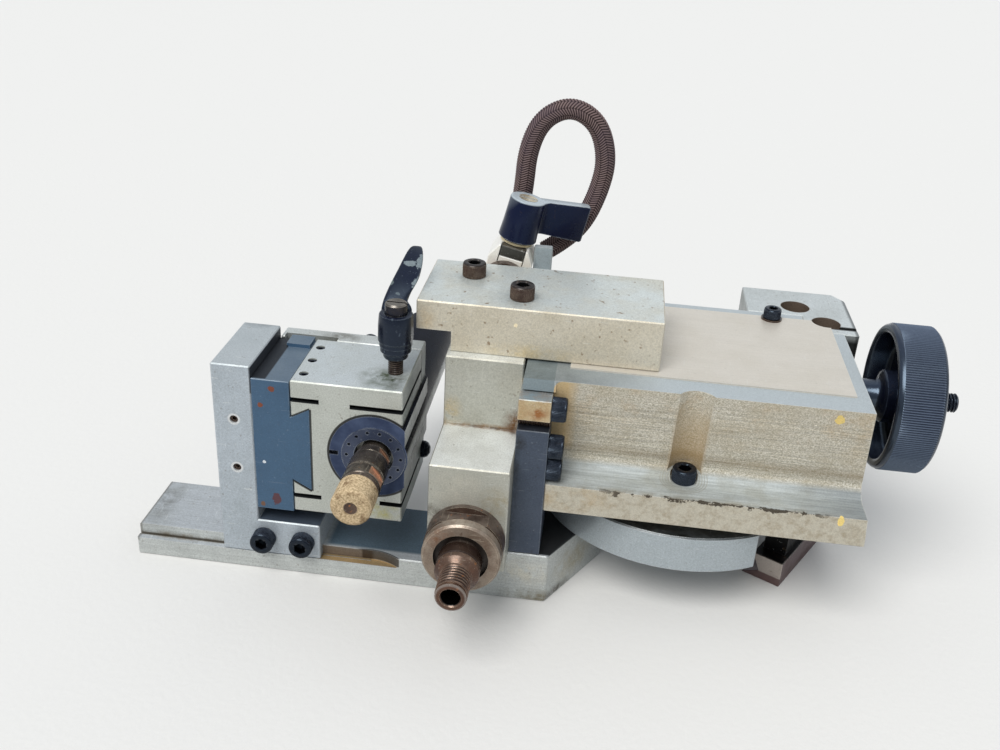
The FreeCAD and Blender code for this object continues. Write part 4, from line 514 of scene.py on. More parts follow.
def housingFinish():
    h = named(housingLook)
    g = Graph("housingCast")
    crumbs = g.grain(1700, 3.0, 0.75, (0.75, 1, 1))
    blotch = g.span(g.grain(48, 5.0, 0.65), 0.44, 0.68)
    rust = g.both(g.span(g.grain(75, 4.0, 0.7, shift=(0.4, 0, 0.2)), 0.5, 0.66), g.span(g.z, 96, 122))
    plain = g.coats(h.gap, (g.span(crumbs, 0.38, 0.62), h.crumb), (blotch, h.blotch, 0.4), (rust, h.rust, 0.3))
    # lines of the milling cutter along the face
    lines = g.span(g.grain(1400, 2.0, 0.6, (0.02, 1, 1)), 0.38, 0.62, 0.78, 1.13)
    milled = g.both(g.between(g.z, 81, 124, 6), g.span(g.grain(26, 2.0, 0.6, (0.6, 1, 1)), 0.3, 0.44))
    onFront = g.span(g.y, 70, 60)
    leftEnd = g.both(onFront, g.span(g.x, 242, 236), g.span(g.z, 86, 92))
    groove = g.both(g.between(g.x, 292.5, 310.5, 1.2), g.between(g.z, 78, 131, 3))
    front = g.coats(plain, (milled, g.shade(plain, lines)), (g.between(g.z, 87, 92, 2.5), h.grime, 0.4),
                    (leftEnd, h.leftEnd, 0.85),
                    (g.both(onFront, groove, g.span(g.z, 128, 92)), h.rust, 0.6))
    # the round upper left corner of the blasted face, and the shelf beside it, painted in the blue-grey of the tops, a
    # painted light that joins them to the top
    inX = g.calc("MAXIMUM", g.calc("SUBTRACT", h.left + h.corner, g.x), 0.0)
    inZ = g.calc("MAXIMUM", g.calc("SUBTRACT", g.z, h.top - h.corner), 0.0)
    onShelf = g.span(g.x, h.left + 0.1, h.left - 0.1)
    front = g.coats(front, (g.span(g.far(inX, inZ), h.corner - 0.1, h.corner + 0.1), h.margin),
                    (g.both(onShelf, g.span(g.z, 123, 125)), h.shelf))
    # the lip below the ledge, with a broken upper edge
    lip = g.span(g.z, 76.8, 75.6)
    lipColour = g.paint(h.lip, g.span(g.grain(240, 5.0, 0.75), 0.46, 0.66), h.grime, 0.4)
    front = g.coats(front, (lip, lipColour),
                    (g.both(lip, g.near((244, 1, 70), (24, 6, 10)), blotch), h.rust, 0.8))
    # the ledge in front, and the top above it
    ledge, upper = g.span(g.z, 110, 100), g.span(g.z, 100, 110)
    outer = g.both(g.span(g.y, 6, 1), g.span(g.grain(110, 5.0, 0.7), 0.42, 0.6))
    top = g.coats(h.ledge, (blotch, h.ledgeBlotch, 0.7), (outer, h.ledgeRust, 0.6), (upper, h.margin),
                  (g.both(g.span(g.x, 350, 384), ledge), h.ledgeEnd, 0.8))
    streak = g.span(g.grain(900, 2.0, 0.6, (0.05, 1, 1)), 0.36, 0.64, 0.84, 1.12)
    top = g.paint(top, ledge, g.shade(top, streak))
    # painted shadow of the top bar, on the top near the left end and on the shelf's top
    for mask, (pale, dark), amount in ((g.both(g.span(g.x, 285, 235), upper), h.shaded, 0.8),
                                       (onShelf, h.shelfTop, 1.0)):
        top = g.paint(top, mask, g.paint(pale, blotch, dark), amount)
    # rings left by turning the screw
    flat = g.vector("DISTANCE", g.spotMm, h.screw)
    rings = g.both(g.between(flat, 7.5, 13.2, 0.5), g.span(g.calc("SINE", g.calc("MULTIPLY", flat, 4.6)), -0.2, 0.8))
    top = g.paint(top, rings, h.ring, 0.6)
    # faces turned up take the top colours, partly their own machined finish and partly painted light, paler and bluer
    # as if lit by the sky
    colour = g.paint(front, g.span(g.up, 0.12, 0.55), top)
    # pale edges: partly rubbed metal, partly a painted highlight
    colour = g.paint(colour, g.both(g.worn(0.7 * mm), g.span(g.x, 229, 231)), h.worn, 0.7)
    # the broken edge's dark chips: their own brown, with painted shade in them
    fromEdge = g.calc("ADD", g.calc("SUBTRACT", h.screw[2], g.z), g.calc("SUBTRACT", g.y, 1.0))
    broken = g.calc("SUBTRACT", g.grain(150, 5.0, 0.74, (0.8, 1, 1.4)), g.calc("MULTIPLY", fromEdge, 0.07))
    broken = g.both(g.span(broken, 0.44, 0.47), g.between(g.x, 258, 376, 10), g.span(fromEdge, 4, 3),
                    g.between(g.z, 71, 76.5, 0.2))
    colour = g.paint(colour, broken, h.chip, 0.92)
    for place, size in h.dots:
        dot = g.calc("ADD", g.near(place, size), g.grain(420, 2.0, 0.5))
        colour = g.paint(colour, g.span(dot, 0.95, 1.0), h.dot)
    colour = g.shade(colour, g.span(g.grain(1700, 2.0, 0.7), 0.3, 0.7, 0.86, 1.13))
    cast = g.span(g.up, 0.1, 0.5, 1.0, 0.15)
    normal = g.bump(g.both(crumbs, cast), 0.2 * mm)
    return g.finish(colour, g.span(crumbs, 0.3, 0.7, 0.72, 0.5), normal, 0.15, 0.4)


def sleeveFinish():
    g = Graph("sleevePolish")
    cloud = g.span(g.grain(60, 4.0, 0.6), 0.4, 0.66)
    colour = g.paint(tone(13, 15, 23), cloud, tone(21, 24, 35))
    ring = g.both(g.span(g.y, 0.6, 0.2), g.span(g.back, -0.8, -0.95))
    colour = g.paint(colour, ring, g.paint(tone(58, 68, 93), cloud, tone(78, 90, 117)))
    # faces turned to +x, the flat on the sleeve, painted near white, a painted reflection of the pale scene beside it
    flat = g.span(g.right, 0.97, 0.995)
    colour = g.paint(colour, flat, tone(206, 208, 206))
    # pale edges: partly rubbed metal, partly a painted highlight
    colour = g.paint(colour, g.worn(0.8 * mm), tone(150, 156, 166), 0.6)
    normal = g.bump(g.grain(1200, 3.0, 0.6), 0.01 * mm)
    g.shader.inputs["IOR"].default_value = 1.14
    g.shader.inputs["Specular Tint"].default_value = blueSheen
    return g.finish(colour, g.span(cloud, 0.0, 1.0, 0.2, 0.32), normal, 0.0)


def stoneFinish():
    g = Graph("stoneGrit")
    coarse = g.span(g.grain(900, 3.0, 0.75), 0.34, 0.6)
    colour = g.paint(tone(150, 126, 94), coarse, tone(222, 199, 162))
    dark = g.span(g.grain(170, 3.0, 0.65, shift=(0.4, 0.2, 0.7)), 0.54, 0.66)
    colour = g.paint(colour, dark, tone(104, 76, 48), 0.65)
    colour = g.paint(colour, g.near((spindleAxis[0], -49.5, spindleAxis[2]), (4.2, 4, 4.2)), tone(110, 84, 64), 0.9)
    normal = g.bump(g.grain(1500, 3.0, 0.8), 0.16 * mm)
    return g.finish(colour, 0.85, normal, 0.0, 0.25)


def braidFinish():
    g = Graph("braidYarn")
    ridge = g.marked("ridge")
    yarn = g.grain(1600, 2.0, 0.7)
    colour = g.paint(tone(15, 10, 12), g.span(ridge, 0.2, 0.8), tone(132, 114, 113))
    colour = g.paint(colour, g.span(yarn, 0.35, 0.7), tone(96, 68, 64), 0.35)
    colour = g.paint(colour, g.span(g.grain(60, 3.0, 0.6), 0.45, 0.65), tone(70, 60, 76), 0.35)
    return g.finish(colour, 0.75, g.bump(yarn, 0.05 * mm), 0.0, 0.25)


# Mesh helpers

def addObject(name, data):
    made = bpy.data.objects.new(name, data)
    bpy.context.collection.objects.link(made)
    return made


def addMesh(name, points, faces, material, sharp=35):
    mesh = bpy.data.meshes.new(name)
    mesh.from_pydata([tuple(p) for p in points], [], faces)
    tidyUp = bmesh.new()
    tidyUp.from_mesh(mesh)
    bmesh.ops.recalc_face_normals(tidyUp, faces=tidyUp.faces)
    tidyUp.to_mesh(mesh)
    tidyUp.free()
    mesh.shade_smooth()
    mesh.set_sharp_from_angle(angle=math.radians(sharp))
    mesh.materials.append(material)
    return addObject(name, mesh)


def mark(piece, name, values):
    # a number at each point, which the finish reads by that name
    piece.data.attributes.new(name, "FLOAT", "POINT").data.foreach_set("value", values)


def sideways(axis):
    axis = Vector(axis).normalized()
    helper = Vector((0, 0, 1)) if abs(axis.z) < 0.9 else Vector((1, 0, 0))
    first = axis.cross(helper).normalized()
    return axis, first, axis.cross(first).normalized()


def allRound(count):
    return [2 * math.pi * i / count for i in range(count)]


def skin(rows, looped=False):
    # points and faces of a skin over rows of equally many points, with the ends closed
    around = len(rows[0])
    count = len(rows)
    points = [point for row in rows for point in row]
    faces = []
    for k in range(count if looped else count - 1):
        near, far = k * around, (k + 1) % count * around
        for i in range(around):
            j = (i + 1) % around
            faces.append((near + i, near + j, far + j, far + i))
    if not looped:
        faces.append(tuple(range(around)))
        faces.append(tuple(range((count - 1) * around, count * around)))
    return points, faces


def lathe(centre, axis, rings, segments=96, looped=False):
    # rings: (along, radius) pairs in mm, a radius may be a function of the angle
    axis, first, second = sideways(axis)
    rows = []
    for along, radius in rings:
        row = []
        for angle in allRound(segments):
            r = radius(angle, along) if callable(radius) else radius
            row.append(centre + (axis * along + (first * math.cos(angle) + second * math.sin(angle)) * r) * mm)
        rows.append(row)
    return skin(rows, looped)


def merged(parts):
    points, faces = [], []
    for morePoints, moreFaces in parts:
        shift = len(points)
        points += morePoints
        faces += [tuple(i + shift for i in face) for face in moreFaces]
    return points, faces


def knurled(radius, count, depth):
    def at(angle, along):
        wave = abs((angle * count / (2 * math.pi)) % 1 * 2 - 1)
        return radius - depth * wave
    return at


def hexagon(apothem):
    def at(angle, along):
        return apothem / math.cos((angle + math.pi / 6) % (math.pi / 3) - math.pi / 6)
    return at


def flatted(radius, flat, facing):
    # a round with two flats, one on each side
    def at(angle, along):
        off = (angle - math.radians(facing) + math.pi / 2) % math.pi - math.pi / 2
        return min(radius, flat / max(0.2, math.cos(off)))
    return at


def threadRings(start, end, outer, inner, pitch, stepsPerTurn=8):
    def at(angle, along):
        wave = (along / pitch - angle / (2 * math.pi)) % 1
        flank = min(1.0, max(0.0, abs(wave * 2 - 1) * 1.6 - 0.3))
        fade = min(1.0, (along - start) / pitch, (end - along) / pitch)
        return outer - (outer - inner) * (1 - flank) * max(0.0, fade)
    count = max(2, int((end - start) / pitch * stepsPerTurn))
    return [(start + (end - start) * i / count, at) for i in range(count + 1)]


def carry(piece, body):
    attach(piece, body)
    return piece


def stand(piece, node, body):
    # a modelled piece that is shown in place of a CAD node
    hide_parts(node)
    return carry(piece, body)


# Socket head screws with knurled heads

capSizes = dict(
    small=dict(shank=3, head=5, height=6, knurl=42),
    medium=dict(shank=4, head=6.5, height=8, knurl=54),
)
capShape = dict(bite=0.22, socket=0.46, countersink=1.24, socketFloor=0.34)


def capScrew(seat, axis, kind, length):
    size, shape = named(capSizes[kind]), named(capShape)
    head, height, shank, bite = size.head, size.height, size.shank, shape.bite
    apothem = head * shape.socket
    grip = knurled(head, size.knurl, bite)
    rings = [
        (-length, shank - 0.5), (-length + 0.5, shank), (-0.05, shank),
        (0, head - 0.5), (0.35, grip), (height - 1.3, grip), (height - 1.15, head - bite),
        (height - 0.75, head - 0.12), (height - 0.25, head - 0.4), (height, head - 0.9),
        (height, apothem * shape.countersink), (height - 0.45, hexagon(apothem)),
        (height * 0.42, hexagon(apothem)), (height * shape.socketFloor, 0.4),
    ]
    around = size.knurl * 4
    # the socket's walls and floor are marked for painted shade
    socket = [1.0 if k >= len(rings) - 3 else 0.0 for k in range(len(rings)) for _ in range(around)]
    return lathe(spot(*seat), axis, rings, around), socket


blackSlot = "black_screws"
screwSets = {
    # body, slot, size, axis, length under the head, finish, seats of the heads
    "top_bar_screws": ("feed", "rusty_steel", "medium", (0, 0, 1), 39.6, brownScrew,
                       [(177.5, 71.5, 161.2), (206.8, 46, 161.2)]),
    "bracket_screws": ("carriage", blackSlot, "medium", (0, -1, 0), 61, blackScrew, [(75.6, 0, 22), (97.6, 0, 22)]),
    "side_screws": ("feed", blackSlot, "medium", (1, 0, 0), 14, blackScrew,
                    [(228.9, 7, 83), (228.9, 7, 96.1), (228.9, 7, 118.2)]),
    "flange_screw": ("housing", blackSlot, "medium", (0, 0, 1), 23.2, blackScrew, [(301.6, 20.4, 76.2)]),
    "label_screw": ("housing", blackSlot, "small", (0, 0, 1), 12.9, blackScrew, [(348.7, 117.5, 134.5)]),
    "rear_bolts": ("housing", blackSlot, "medium", (0, 1, 0), 52.5, blackScrew,
                   [(345.5, 159.5, 96), (345.5, 159.5, 113)]),
}
for name, (body, slotName, kind, axis, length, paint, seats) in screwSets.items():
    screws = [capScrew(seat, axis, kind, length) for seat in seats]
    piece = addMesh(name + "Knurled", *merged([shape for shape, socket in screws]), paint)
    mark(piece, "inside", [value for shape, socket in screws for value in socket])
    stand(piece, name, body)
print("cap screws made")

# Handwheel with a straight knurl, and its screw

wheelLook = dict(hubStart=389.3, y=70, z=114, radius=40.6, knurl=190, bite=0.75, bore=6.05)


def makeHandwheel():
    w = named(wheelLook)
    grip = knurled(w.radius, w.knurl, w.bite)
    bore = w.bore
    rings = [
        (0, bore), (0, 8.0), (0.6, 8.6), (13.0, 8.6), (14.4, 9.1), (15.2, 10.2), (15.7, 11.8), (16.3, 13.6),
        (17.2, 14.5), (29.0, 14.5), (29.6, 15.2), (29.6, 31.0), (29.2, 32.8), (28.0, 34.2), (26.0, 34.8),
        (17.5, 34.8), (16.3, 35.2), (15.7, 36.2), (15.6, 37.6), (15.9, 38.9), (16.9, 39.8), (18.4, 40.1),
        (18.9, grip), (38.6, grip), (39.1, 40.0), (40.1, 39.3), (40.8, 38.2), (41.1, 36.8), (41.1, 35.2),
        (40.6, 34.6), (39.3, 34.2), (39.3, 13.0), (41.1, 12.4), (41.1, bore),
    ]
    centre = spot(w.hubStart, w.y, w.z)
    wheel = addMesh("handwheelKnurled", *lathe(centre, (1, 0, 0), rings, w.knurl * 2, True), wheelBlack)
    reach = [math.hypot(v.co.y - centre.y, v.co.z - centre.z) / mm for v in wheel.data.vertices]
    mark(wheel, "bare", [1.0 if r > w.radius - 0.1 else 0.0 for r in reach])
    stand(wheel, "handwheel", "feed_wheel")
    screwRings = [(176, 4), (177, 5), (372, 5), (372.01, 6), (430.3, 6), (430.31, 5.1)]
    screwRings += threadRings(430.4, 446.0, 5.3, 4.45, 1.75) + [(446.9, 4.4)]
    screw = addMesh("feedScrewThread", *lathe(spot(0, w.y, w.z), (1, 0, 0), screwRings, 48), blackScrew)
    stand(screw, "feed_screw", "feed_wheel")


makeHandwheel()
print("handwheel made")

# Pieces with real threads: workhead nipple, lever stud and stop stud

nippleLook = dict(face=-47.06, tip=-69.06, bore=4.7)


def makeNipple():
    n = named(nippleLook)
    tip, bore = n.face - n.tip, n.bore
    rings = [(-9, bore), (-9, 10.6), (-8.4, 11.4), (-1.2, 11.4), (-0.8, 10.8), (-0.2, 10.8), (0.2, 11.4),
             (2.4, 11.4), (3.0, 11.1), (4.6, 8.4)]
    rings += threadRings(5.0, tip - 2.4, 8.1, 7.1, 2.1)
    rings += [(tip - 2.2, 7.3), (tip - 0.8, 7.9), (tip - 0.3, 7.7), (tip, 7.1), (tip, 5.4), (tip - 0.8, bore)]
    centre = spot(noseAxis[0], n.face, noseAxis[2])
    piece = addMesh("nippleThread", *lathe(centre, (0, -1, 0), rings, 72, True), threadRust)
    stand(piece, "threaded_nipple", "workhead")


makeNipple()
studPitch = 1.25
studs = {
    # piece, body, a point on its line, direction, ends, radii of tips, crests and roots, plain ends, points around
    "lever_stud": ("leverStudThread", "lever", leverAxis, (0, 0, 1), (107, 131.2), (3.2, 4.0, 3.35), (0.4, 0.2), 48),
    "stop_stud": ("stopStudThread", "feed", (212, 7.5, 110.25), (1, 0, 0), (0, 16.9), (1.8, 2.6, 2.05), (0.3, 0.3), 40),
}
for node, (name, body, place, axis, (low, high), (tip, crest, root), (before, after), around) in studs.items():
    rings = [(low, tip)] + threadRings(low + before, high - after, crest, root, studPitch) + [(high, tip)]
    stand(addMesh(name, *lathe(spot(*place), axis, rings, around), brownScrew), node, body)
print("threads made")

# Swivel disc with a notch over the foot's end

discLook = dict(
    x=303.5, y=83.7, bottom=30.7, thickness=21.9, radius=82.6, bore=12.05, edge=0.8,
    # the notch's left side, from the rim to its inner corner, in mm from the disc's middle
    notchRim=(41.5, -71.42), notchCorner=(50.2, -28.3),
)


def makeDisc():
    k = named(discLook)
    (rimX, rimY), (cornerX, cornerY) = k.notchRim, k.notchCorner
    slopeX, slopeY = cornerY - rimY, rimX - cornerX
    start, end = math.atan2(rimY, rimX), math.atan2(cornerY, cornerX)

    def rim(inset):
        def at(angle, along):
            # the lathe counts its angle from +Y
            facing = math.atan2(math.cos(angle), -math.sin(angle))
            if start < facing < end:
                across = slopeX * math.cos(facing) + slopeY * math.sin(facing)
                return (slopeX * rimX + slopeY * rimY) / across - inset
            return k.radius - inset
        return at
    top, edge, bore = k.thickness, k.edge, k.bore
    rings = [(0, bore), (0, rim(edge)), (edge, rim(0)), (top - edge, rim(0)), (top, rim(edge)), (top, bore)]
    shape = lathe(spot(k.x, k.y, k.bottom), (0, 0, 1), rings, 360, True)
    stand(addMesh("discNotched", *shape, discSteel), "swivel_disc", "base")


makeDisc()
print("disc made")

# Spindle nose and collet nut, each with two flats for a spanner

spindleLook = dict(
    flatsFace=212,
    # bare: how strongly the flats are painted pale, as machined metal with a painted highlight, between two depths
    # along the spindle
    nose=dict(radius=9.4, flat=8.0, bare=0.5, bareFrom=3.6, bareTo=8.2),
    collet=dict(radius=10.3, flat=8.7, bare=1.0, bareFrom=14.4, bareTo=20.7, start=-9, bore=3.6),
)


def flatMarks(points, centre, look):
    # the flats, where they have cut into the round, marked to be painted pale, machined metal with a painted highlight
    marks = []
    for point in points:
        off = (point - centre) / mm
        cut = 7 < math.hypot(off.x, off.z) < look.radius - 0.12
        marks.append(look.bare if cut and -look.bareTo < off.y < -look.bareFrom else 0.0)
    return marks


def onSpindle(y):
    return spot(spindleAxis[0], y, spindleAxis[2])


def makeFlatted(name, look, start, rings, looped):
    centre = onSpindle(start)
    points, faces = lathe(centre, (0, -1, 0), rings, 144, looped)
    piece = addMesh(name, points, faces, colletSteel)
    mark(piece, "bare", flatMarks(points, centre, look))
    return piece


def makeCollet():
    s = named(spindleLook)
    n, c = named(s.nose), named(s.collet)
    full, flat = n.radius, flatted(n.radius, n.flat, s.flatsFace)
    rings = [(-92, 7.4), (-91.4, 8), (3, 8), (3, 9.0), (3.3, full), (3.7, full), (3.8, flat), (7.9, flat), (8.0, full),
             (8.4, full), (8.8, 9.0), (9, 8.6)]
    stand(makeFlatted("spindleNose", n, 0, rings, False), "spindle_shaft", "spindle")
    full, flat = c.radius, flatted(c.radius, c.flat, s.flatsFace)
    rings = [(0, c.bore), (0, 8.9), (0.4, 9.8), (1.0, full), (12.4, full), (12.7, 9.8), (13.3, 9.8), (13.6, full),
             (14.4, full), (14.5, flat), (20.6, flat), (20.7, full), (21.3, 10.1), (21.8, 9.6), (22, 9.0),
             (22, c.bore)]
    stand(makeFlatted("colletFlats", c, c.start, rings, True), "collet_nut", "spindle")


makeCollet()
print("spindle nose and collet made")

# Grinding stone

stoneLook = dict(face=-34, length=15.5, radius=10.5, bore=3.5, roughness=0.28)


def makeStone():
    s = named(stoneLook)
    face, length, radius = s.face, s.length, s.radius
    rings = [(0, s.bore), (0, radius - 0.4)]
    steps, faceSteps, worn = 14, 5, 1.7
    for i in range(steps + 1):
        rings.append((0.4 + (length - 1.6) * i / steps, radius - 0.1))
    rings += [(length - 0.5, radius - 0.7), (length, radius - worn)]
    for i in range(1, faceSteps + 1):
        rings.append((length, radius - worn - (radius - worn - s.bore) * i / faceSteps))
    points, faces = lathe(onSpindle(face), (0, -1, 0), rings, 72, True)
    middle = onSpindle(face - length / 2)
    for i, point in enumerate(points):
        wobble = noise.noise(point * 420) * 0.6 + noise.noise(point * 1100) * 0.4
        points[i] = point - (point - middle).normalized() * abs(wobble) * s.roughness * mm
    stand(addMesh("stoneRough", points, faces, stoneFinish()), "grinding_stone", "spindle")


makeStone()
print("stone made")

# Clamp lever

leverLook = dict(
    around=16, squareness=0.45, rightRoom=8.5, widerFrom=0.2,
    # sections of the handle: y, bottom, top, left, right at the bottom, right at the top
    sections=[
        (25.0, 147.5, 156.2, 135.0, 152.0, 152.8), (28.6, 148.8, 159.6, 135.1, 151.6, 152.8),
        (30.9, 150.0, 161.6, 135.4, 147.2, 147.2), (36.9, 155.2, 166.2, 136.8, 147.6, 153.6),
        (42.0, 159.8, 169.4, 138.3, 148.8, 153.9), (46.5, 163.6, 171.8, 139.5, 151.6, 153.7),
        (55.0, 169.6, 175.8, 141.2, 152.0, 152.4), (61.5, 173.8, 178.2, 142.6, 150.6, 150.4),
        (65.2, 176.0, 178.3, 144.4, 149.2, 149.2),
    ],
)


def makeLever():
    v = named(leverLook)
    rings = [
        (131.2, 5.2), (131.5, 6.2), (132.2, 6.6), (134.2, 6.6), (134.7, 7.4), (135.4, 8.2), (138.3, 8.2),
        (138.5, 8.7), (140.8, 8.7), (141.4, 9.35), (143, 9.4), (150, 9.35), (155.5, 8.9), (156.1, 8.6),
        (156.4, 8.0), (156.4, 6.3), (155.9, 6.2), (155.9, 1.0),
    ]

    def beside(radius):
        # a little flat on the right, where the top bar passes
        return lambda angle, along: min(radius, v.rightRoom / max(0.2, -math.sin(angle)))
    hub = lathe(spot(*leverAxis), (0, 0, 1), [(along, beside(radius)) for along, radius in rings], 72)
    stand(addMesh("leverHub", *hub, navyLever), "lever_handle", "lever")
    rows = []
    for y, low, high, left, rightLow, rightHigh in v.sections:
        row = []
        for angle in allRound(v.around):
            c, s = math.cos(angle), math.sin(angle)
            across = math.copysign(abs(c) ** v.squareness, c)
            rise = math.copysign(abs(s) ** v.squareness, s)
            right = rightLow + (rightHigh - rightLow) * max(0.0, rise - v.widerFrom) / (1 - v.widerFrom)
            row.append(spot((left + right + across * (right - left)) / 2, y, (low + high + rise * (high - low)) / 2))
        rows.append(row)
    arm = addMesh("leverArm", *skin(rows), navyLever, 60)
    arm.modifiers.new("round", "SUBSURF").levels = 2
    arm.modifiers["round"].render_levels = 2
    carry(arm, "lever")


makeLever()
print("clamp lever made")

# Air valve: its lever, the dark bonnet in the body's window and a brass washer

valveLook = dict(
    x=191.3, y=112, z=147.4, tilt=12, turn=12, hub=10.3, flare=11.2, low=24.3,
    plateLow=29.9, high=48.8, reach=37, lift=0.11, near=-0.7, far=6.3, corner=5.0,
    bonnetHalf=7.0, bonnetFront=99.5, bonnetBack=105.8, sillLow=11.6, bonnetLow=15.4, bonnetHigh=21.9,
)


def valvePoint(out, depth, rise):
    # a point of the leaning valve: across, along y from its stem and up its stem
    v = named(valveLook)
    lean = math.radians(v.tilt)
    across = out * math.cos(lean) + rise * math.sin(lean)
    return spot(v.x + across, v.y + depth, v.z - out * math.sin(lean) + rise * math.cos(lean))


def column(outline, levels):
    v = named(valveLook)
    rows = []
    for level, shrink in levels:
        row = []
        for a, b in outline:
            size = math.hypot(a, b)
            share = (level - v.plateLow) / (v.high - v.plateLow)
            raised = level + max(0.0, a - v.hub) * v.lift * share
            row.append(valvePoint(a * (size - shrink) / size, b * (size - shrink) / size, raised))
        rows.append(row)
    return skin(rows)


def valvePlan():
    # plan of hub and plate, with a round corner where they meet in front
    v = named(valveLook)
    below = v.corner - v.near
    centreAlong = math.sqrt((v.hub + v.corner) ** 2 - below ** 2)
    meet = math.atan2(below, centreAlong)
    behind = math.asin(v.far / v.hub)
    outline = []
    for i in range(41):
        a = behind + (2 * math.pi - meet - behind) * i / 40
        outline.append(((v.hub - 0.3) * math.cos(a), (v.hub - 0.3) * math.sin(a)))
    for i in range(1, 7):
        a = math.pi - meet - (math.pi / 2 - meet) * i / 6
        outline.append((centreAlong + v.corner * math.cos(a), -below + v.corner * math.sin(a)))
    outline += [(v.reach - 1, v.near), (v.reach, v.near + 1)]
    outline += [(v.reach, v.far - 1), (v.reach - 1, v.far)]
    turn = math.radians(v.turn)
    return [(a * math.cos(turn) - b * math.sin(turn), a * math.sin(turn) + b * math.cos(turn)) for a, b in outline]


def windowBlock(low, high):
    # a block with broken front edges in the window of the valve body
    v = named(valveLook)
    rows = []
    front, back = v.bonnetFront - v.y, v.bonnetBack - v.y
    for depth, inset in ((front, 0.5), (front + 0.5, 0), (back, 0)):
        half = v.bonnetHalf - inset
        rows.append([valvePoint(a, depth, level) for a, level in (
            (-half, low + inset), (half, low + inset), (half, high - inset), (-half, high - inset))])
    return skin(rows)


def makeValve():
    v = named(valveLook)
    circle = [(v.hub * math.cos(a), v.hub * math.sin(a)) for a in allRound(64)]
    plate = column(valvePlan(), [(v.plateLow, 0.5), (v.plateLow + 0.6, 0), (v.high - 1.0, 0),
                                 (v.high - 0.3, 0.35), (v.high - 0.08, 1.1)])
    wider = v.hub - v.flare
    hub = column(circle, [(v.low, wider + 0.6), (v.low + 0.5, wider), (v.low + 9, wider * 0.4),
                          (v.high - 0.9, 0), (v.high - 0.2, 0.35), (v.high, 1.1)])
    lever = addMesh("valveLeverPlate", *merged([plate, hub]), navyValve, 50)
    stand(lever, "valve_lever", "valve_handle")
    carry(addMesh("valveBonnet", *windowBlock(v.bonnetLow, v.bonnetHigh), stemSteel), "feed")
    carry(addMesh("valveSill", *windowBlock(v.sillLow, v.bonnetLow - 0.05), nickelBody), "feed")
    lean = math.radians(v.tilt)
    rings = [(22.1, 6.0), (22.1, 9.2), (22.4, 9.5), (23.5, 9.5), (23.8, 9.2), (23.8, 6.0)]
    washer = lathe(spot(v.x, v.y, v.z), (math.sin(lean), 0, math.cos(lean)), rings, 64, True)
    carry(addMesh("valveWasher", *washer, bronze), "feed")


makeValve()
print("air valve made")

# Hose block: a low foot on the arm with an upright back

hoseBlockLook = dict(
    left=207, right=217.6, edge=0.6,
    # y and z of each corner, and which way it draws in at the block's ends
    profile=[(92, 136, 1, 1), (92, 152, 0, -1), (107.6, 152, 1, -1), (107.6, 168, 1, -1), (112, 168, -1, -1),
             (112, 136, -1, 1)],
)
elbowLook = dict(seat=(212.9, 112, 157), neck=4.1, ball=5.2, reach=20)


def makeHoseBlock():
    b = named(hoseBlockLook)
    left, right, edge = b.left, b.right, b.edge
    rows = []
    for x, inset in ((left, edge), (left + edge, 0), (right - edge, 0), (right, edge)):
        rows.append([spot(x, y + inset * inY, z + inset * inZ) for y, z, inY, inZ in b.profile])
    stand(addMesh("hoseBlockStep", *skin(rows), hoseBlockSteel, 25), "hose_block", "feed")


def makeHoseElbow():
    # a neck and a ball that the hose's end goes over
    e = named(elbowLook)
    angles = [math.radians(a) for a in range(-50, 89, 12)]
    ball = [(e.reach + e.ball * math.sin(a), e.ball * math.cos(a)) for a in angles]
    shape = lathe(spot(*e.seat), (0, 1, 0), [(0, e.neck - 0.2), (0.2, e.neck)] + ball, 48)
    stand(addMesh("hoseElbowNeck", *shape, nickelBody), "hose_elbow", "feed")


makeHoseBlock()
makeHoseElbow()
print("hose block made")

# Air hose: a braided cover on the route from the valve to the hose block

hoseLook = dict(radius=5.9, ridge=0.5, pitch=1.45, columns=4, slant=1.5, around=80, steps=128)
hoseRoute = [
    (193.65, 135.5, 169.6), (196.4, 135.5, 192.9), (197.3, 134.8, 217.5), (205, 133.6, 236.6),
    (221.2, 132.4, 244.8), (236.9, 132.9, 236), (243.4, 134.2, 216), (240.5, 134.4, 196),
    (232.41, 132, 175.52), (218.5, 132, 162.0), (211.6, 132, 157.4),
]


def hosePath():
    curve = bpy.data.curves.new("hoseRoute", "CURVE")
    curve.dimensions = "3D"
    curve.resolution_u = hoseLook["steps"]
    spline = curve.splines.new("NURBS")
    spline.points.add(len(hoseRoute) - 1)
    for point, place in zip(spline.points, hoseRoute):
        point.co = (*spot(*place), 1)
    spline.order_u = 3
    spline.use_endpoint_u = True
    guide = addObject("hoseRoute", curve)
    bpy.context.view_layer.update()
    line = bpy.data.meshes.new_from_object(guide.evaluated_get(bpy.context.evaluated_depsgraph_get()))
    path = [v.co.copy() for v in line.vertices]
    bpy.data.objects.remove(guide)
    bpy.data.meshes.remove(line)
    return path


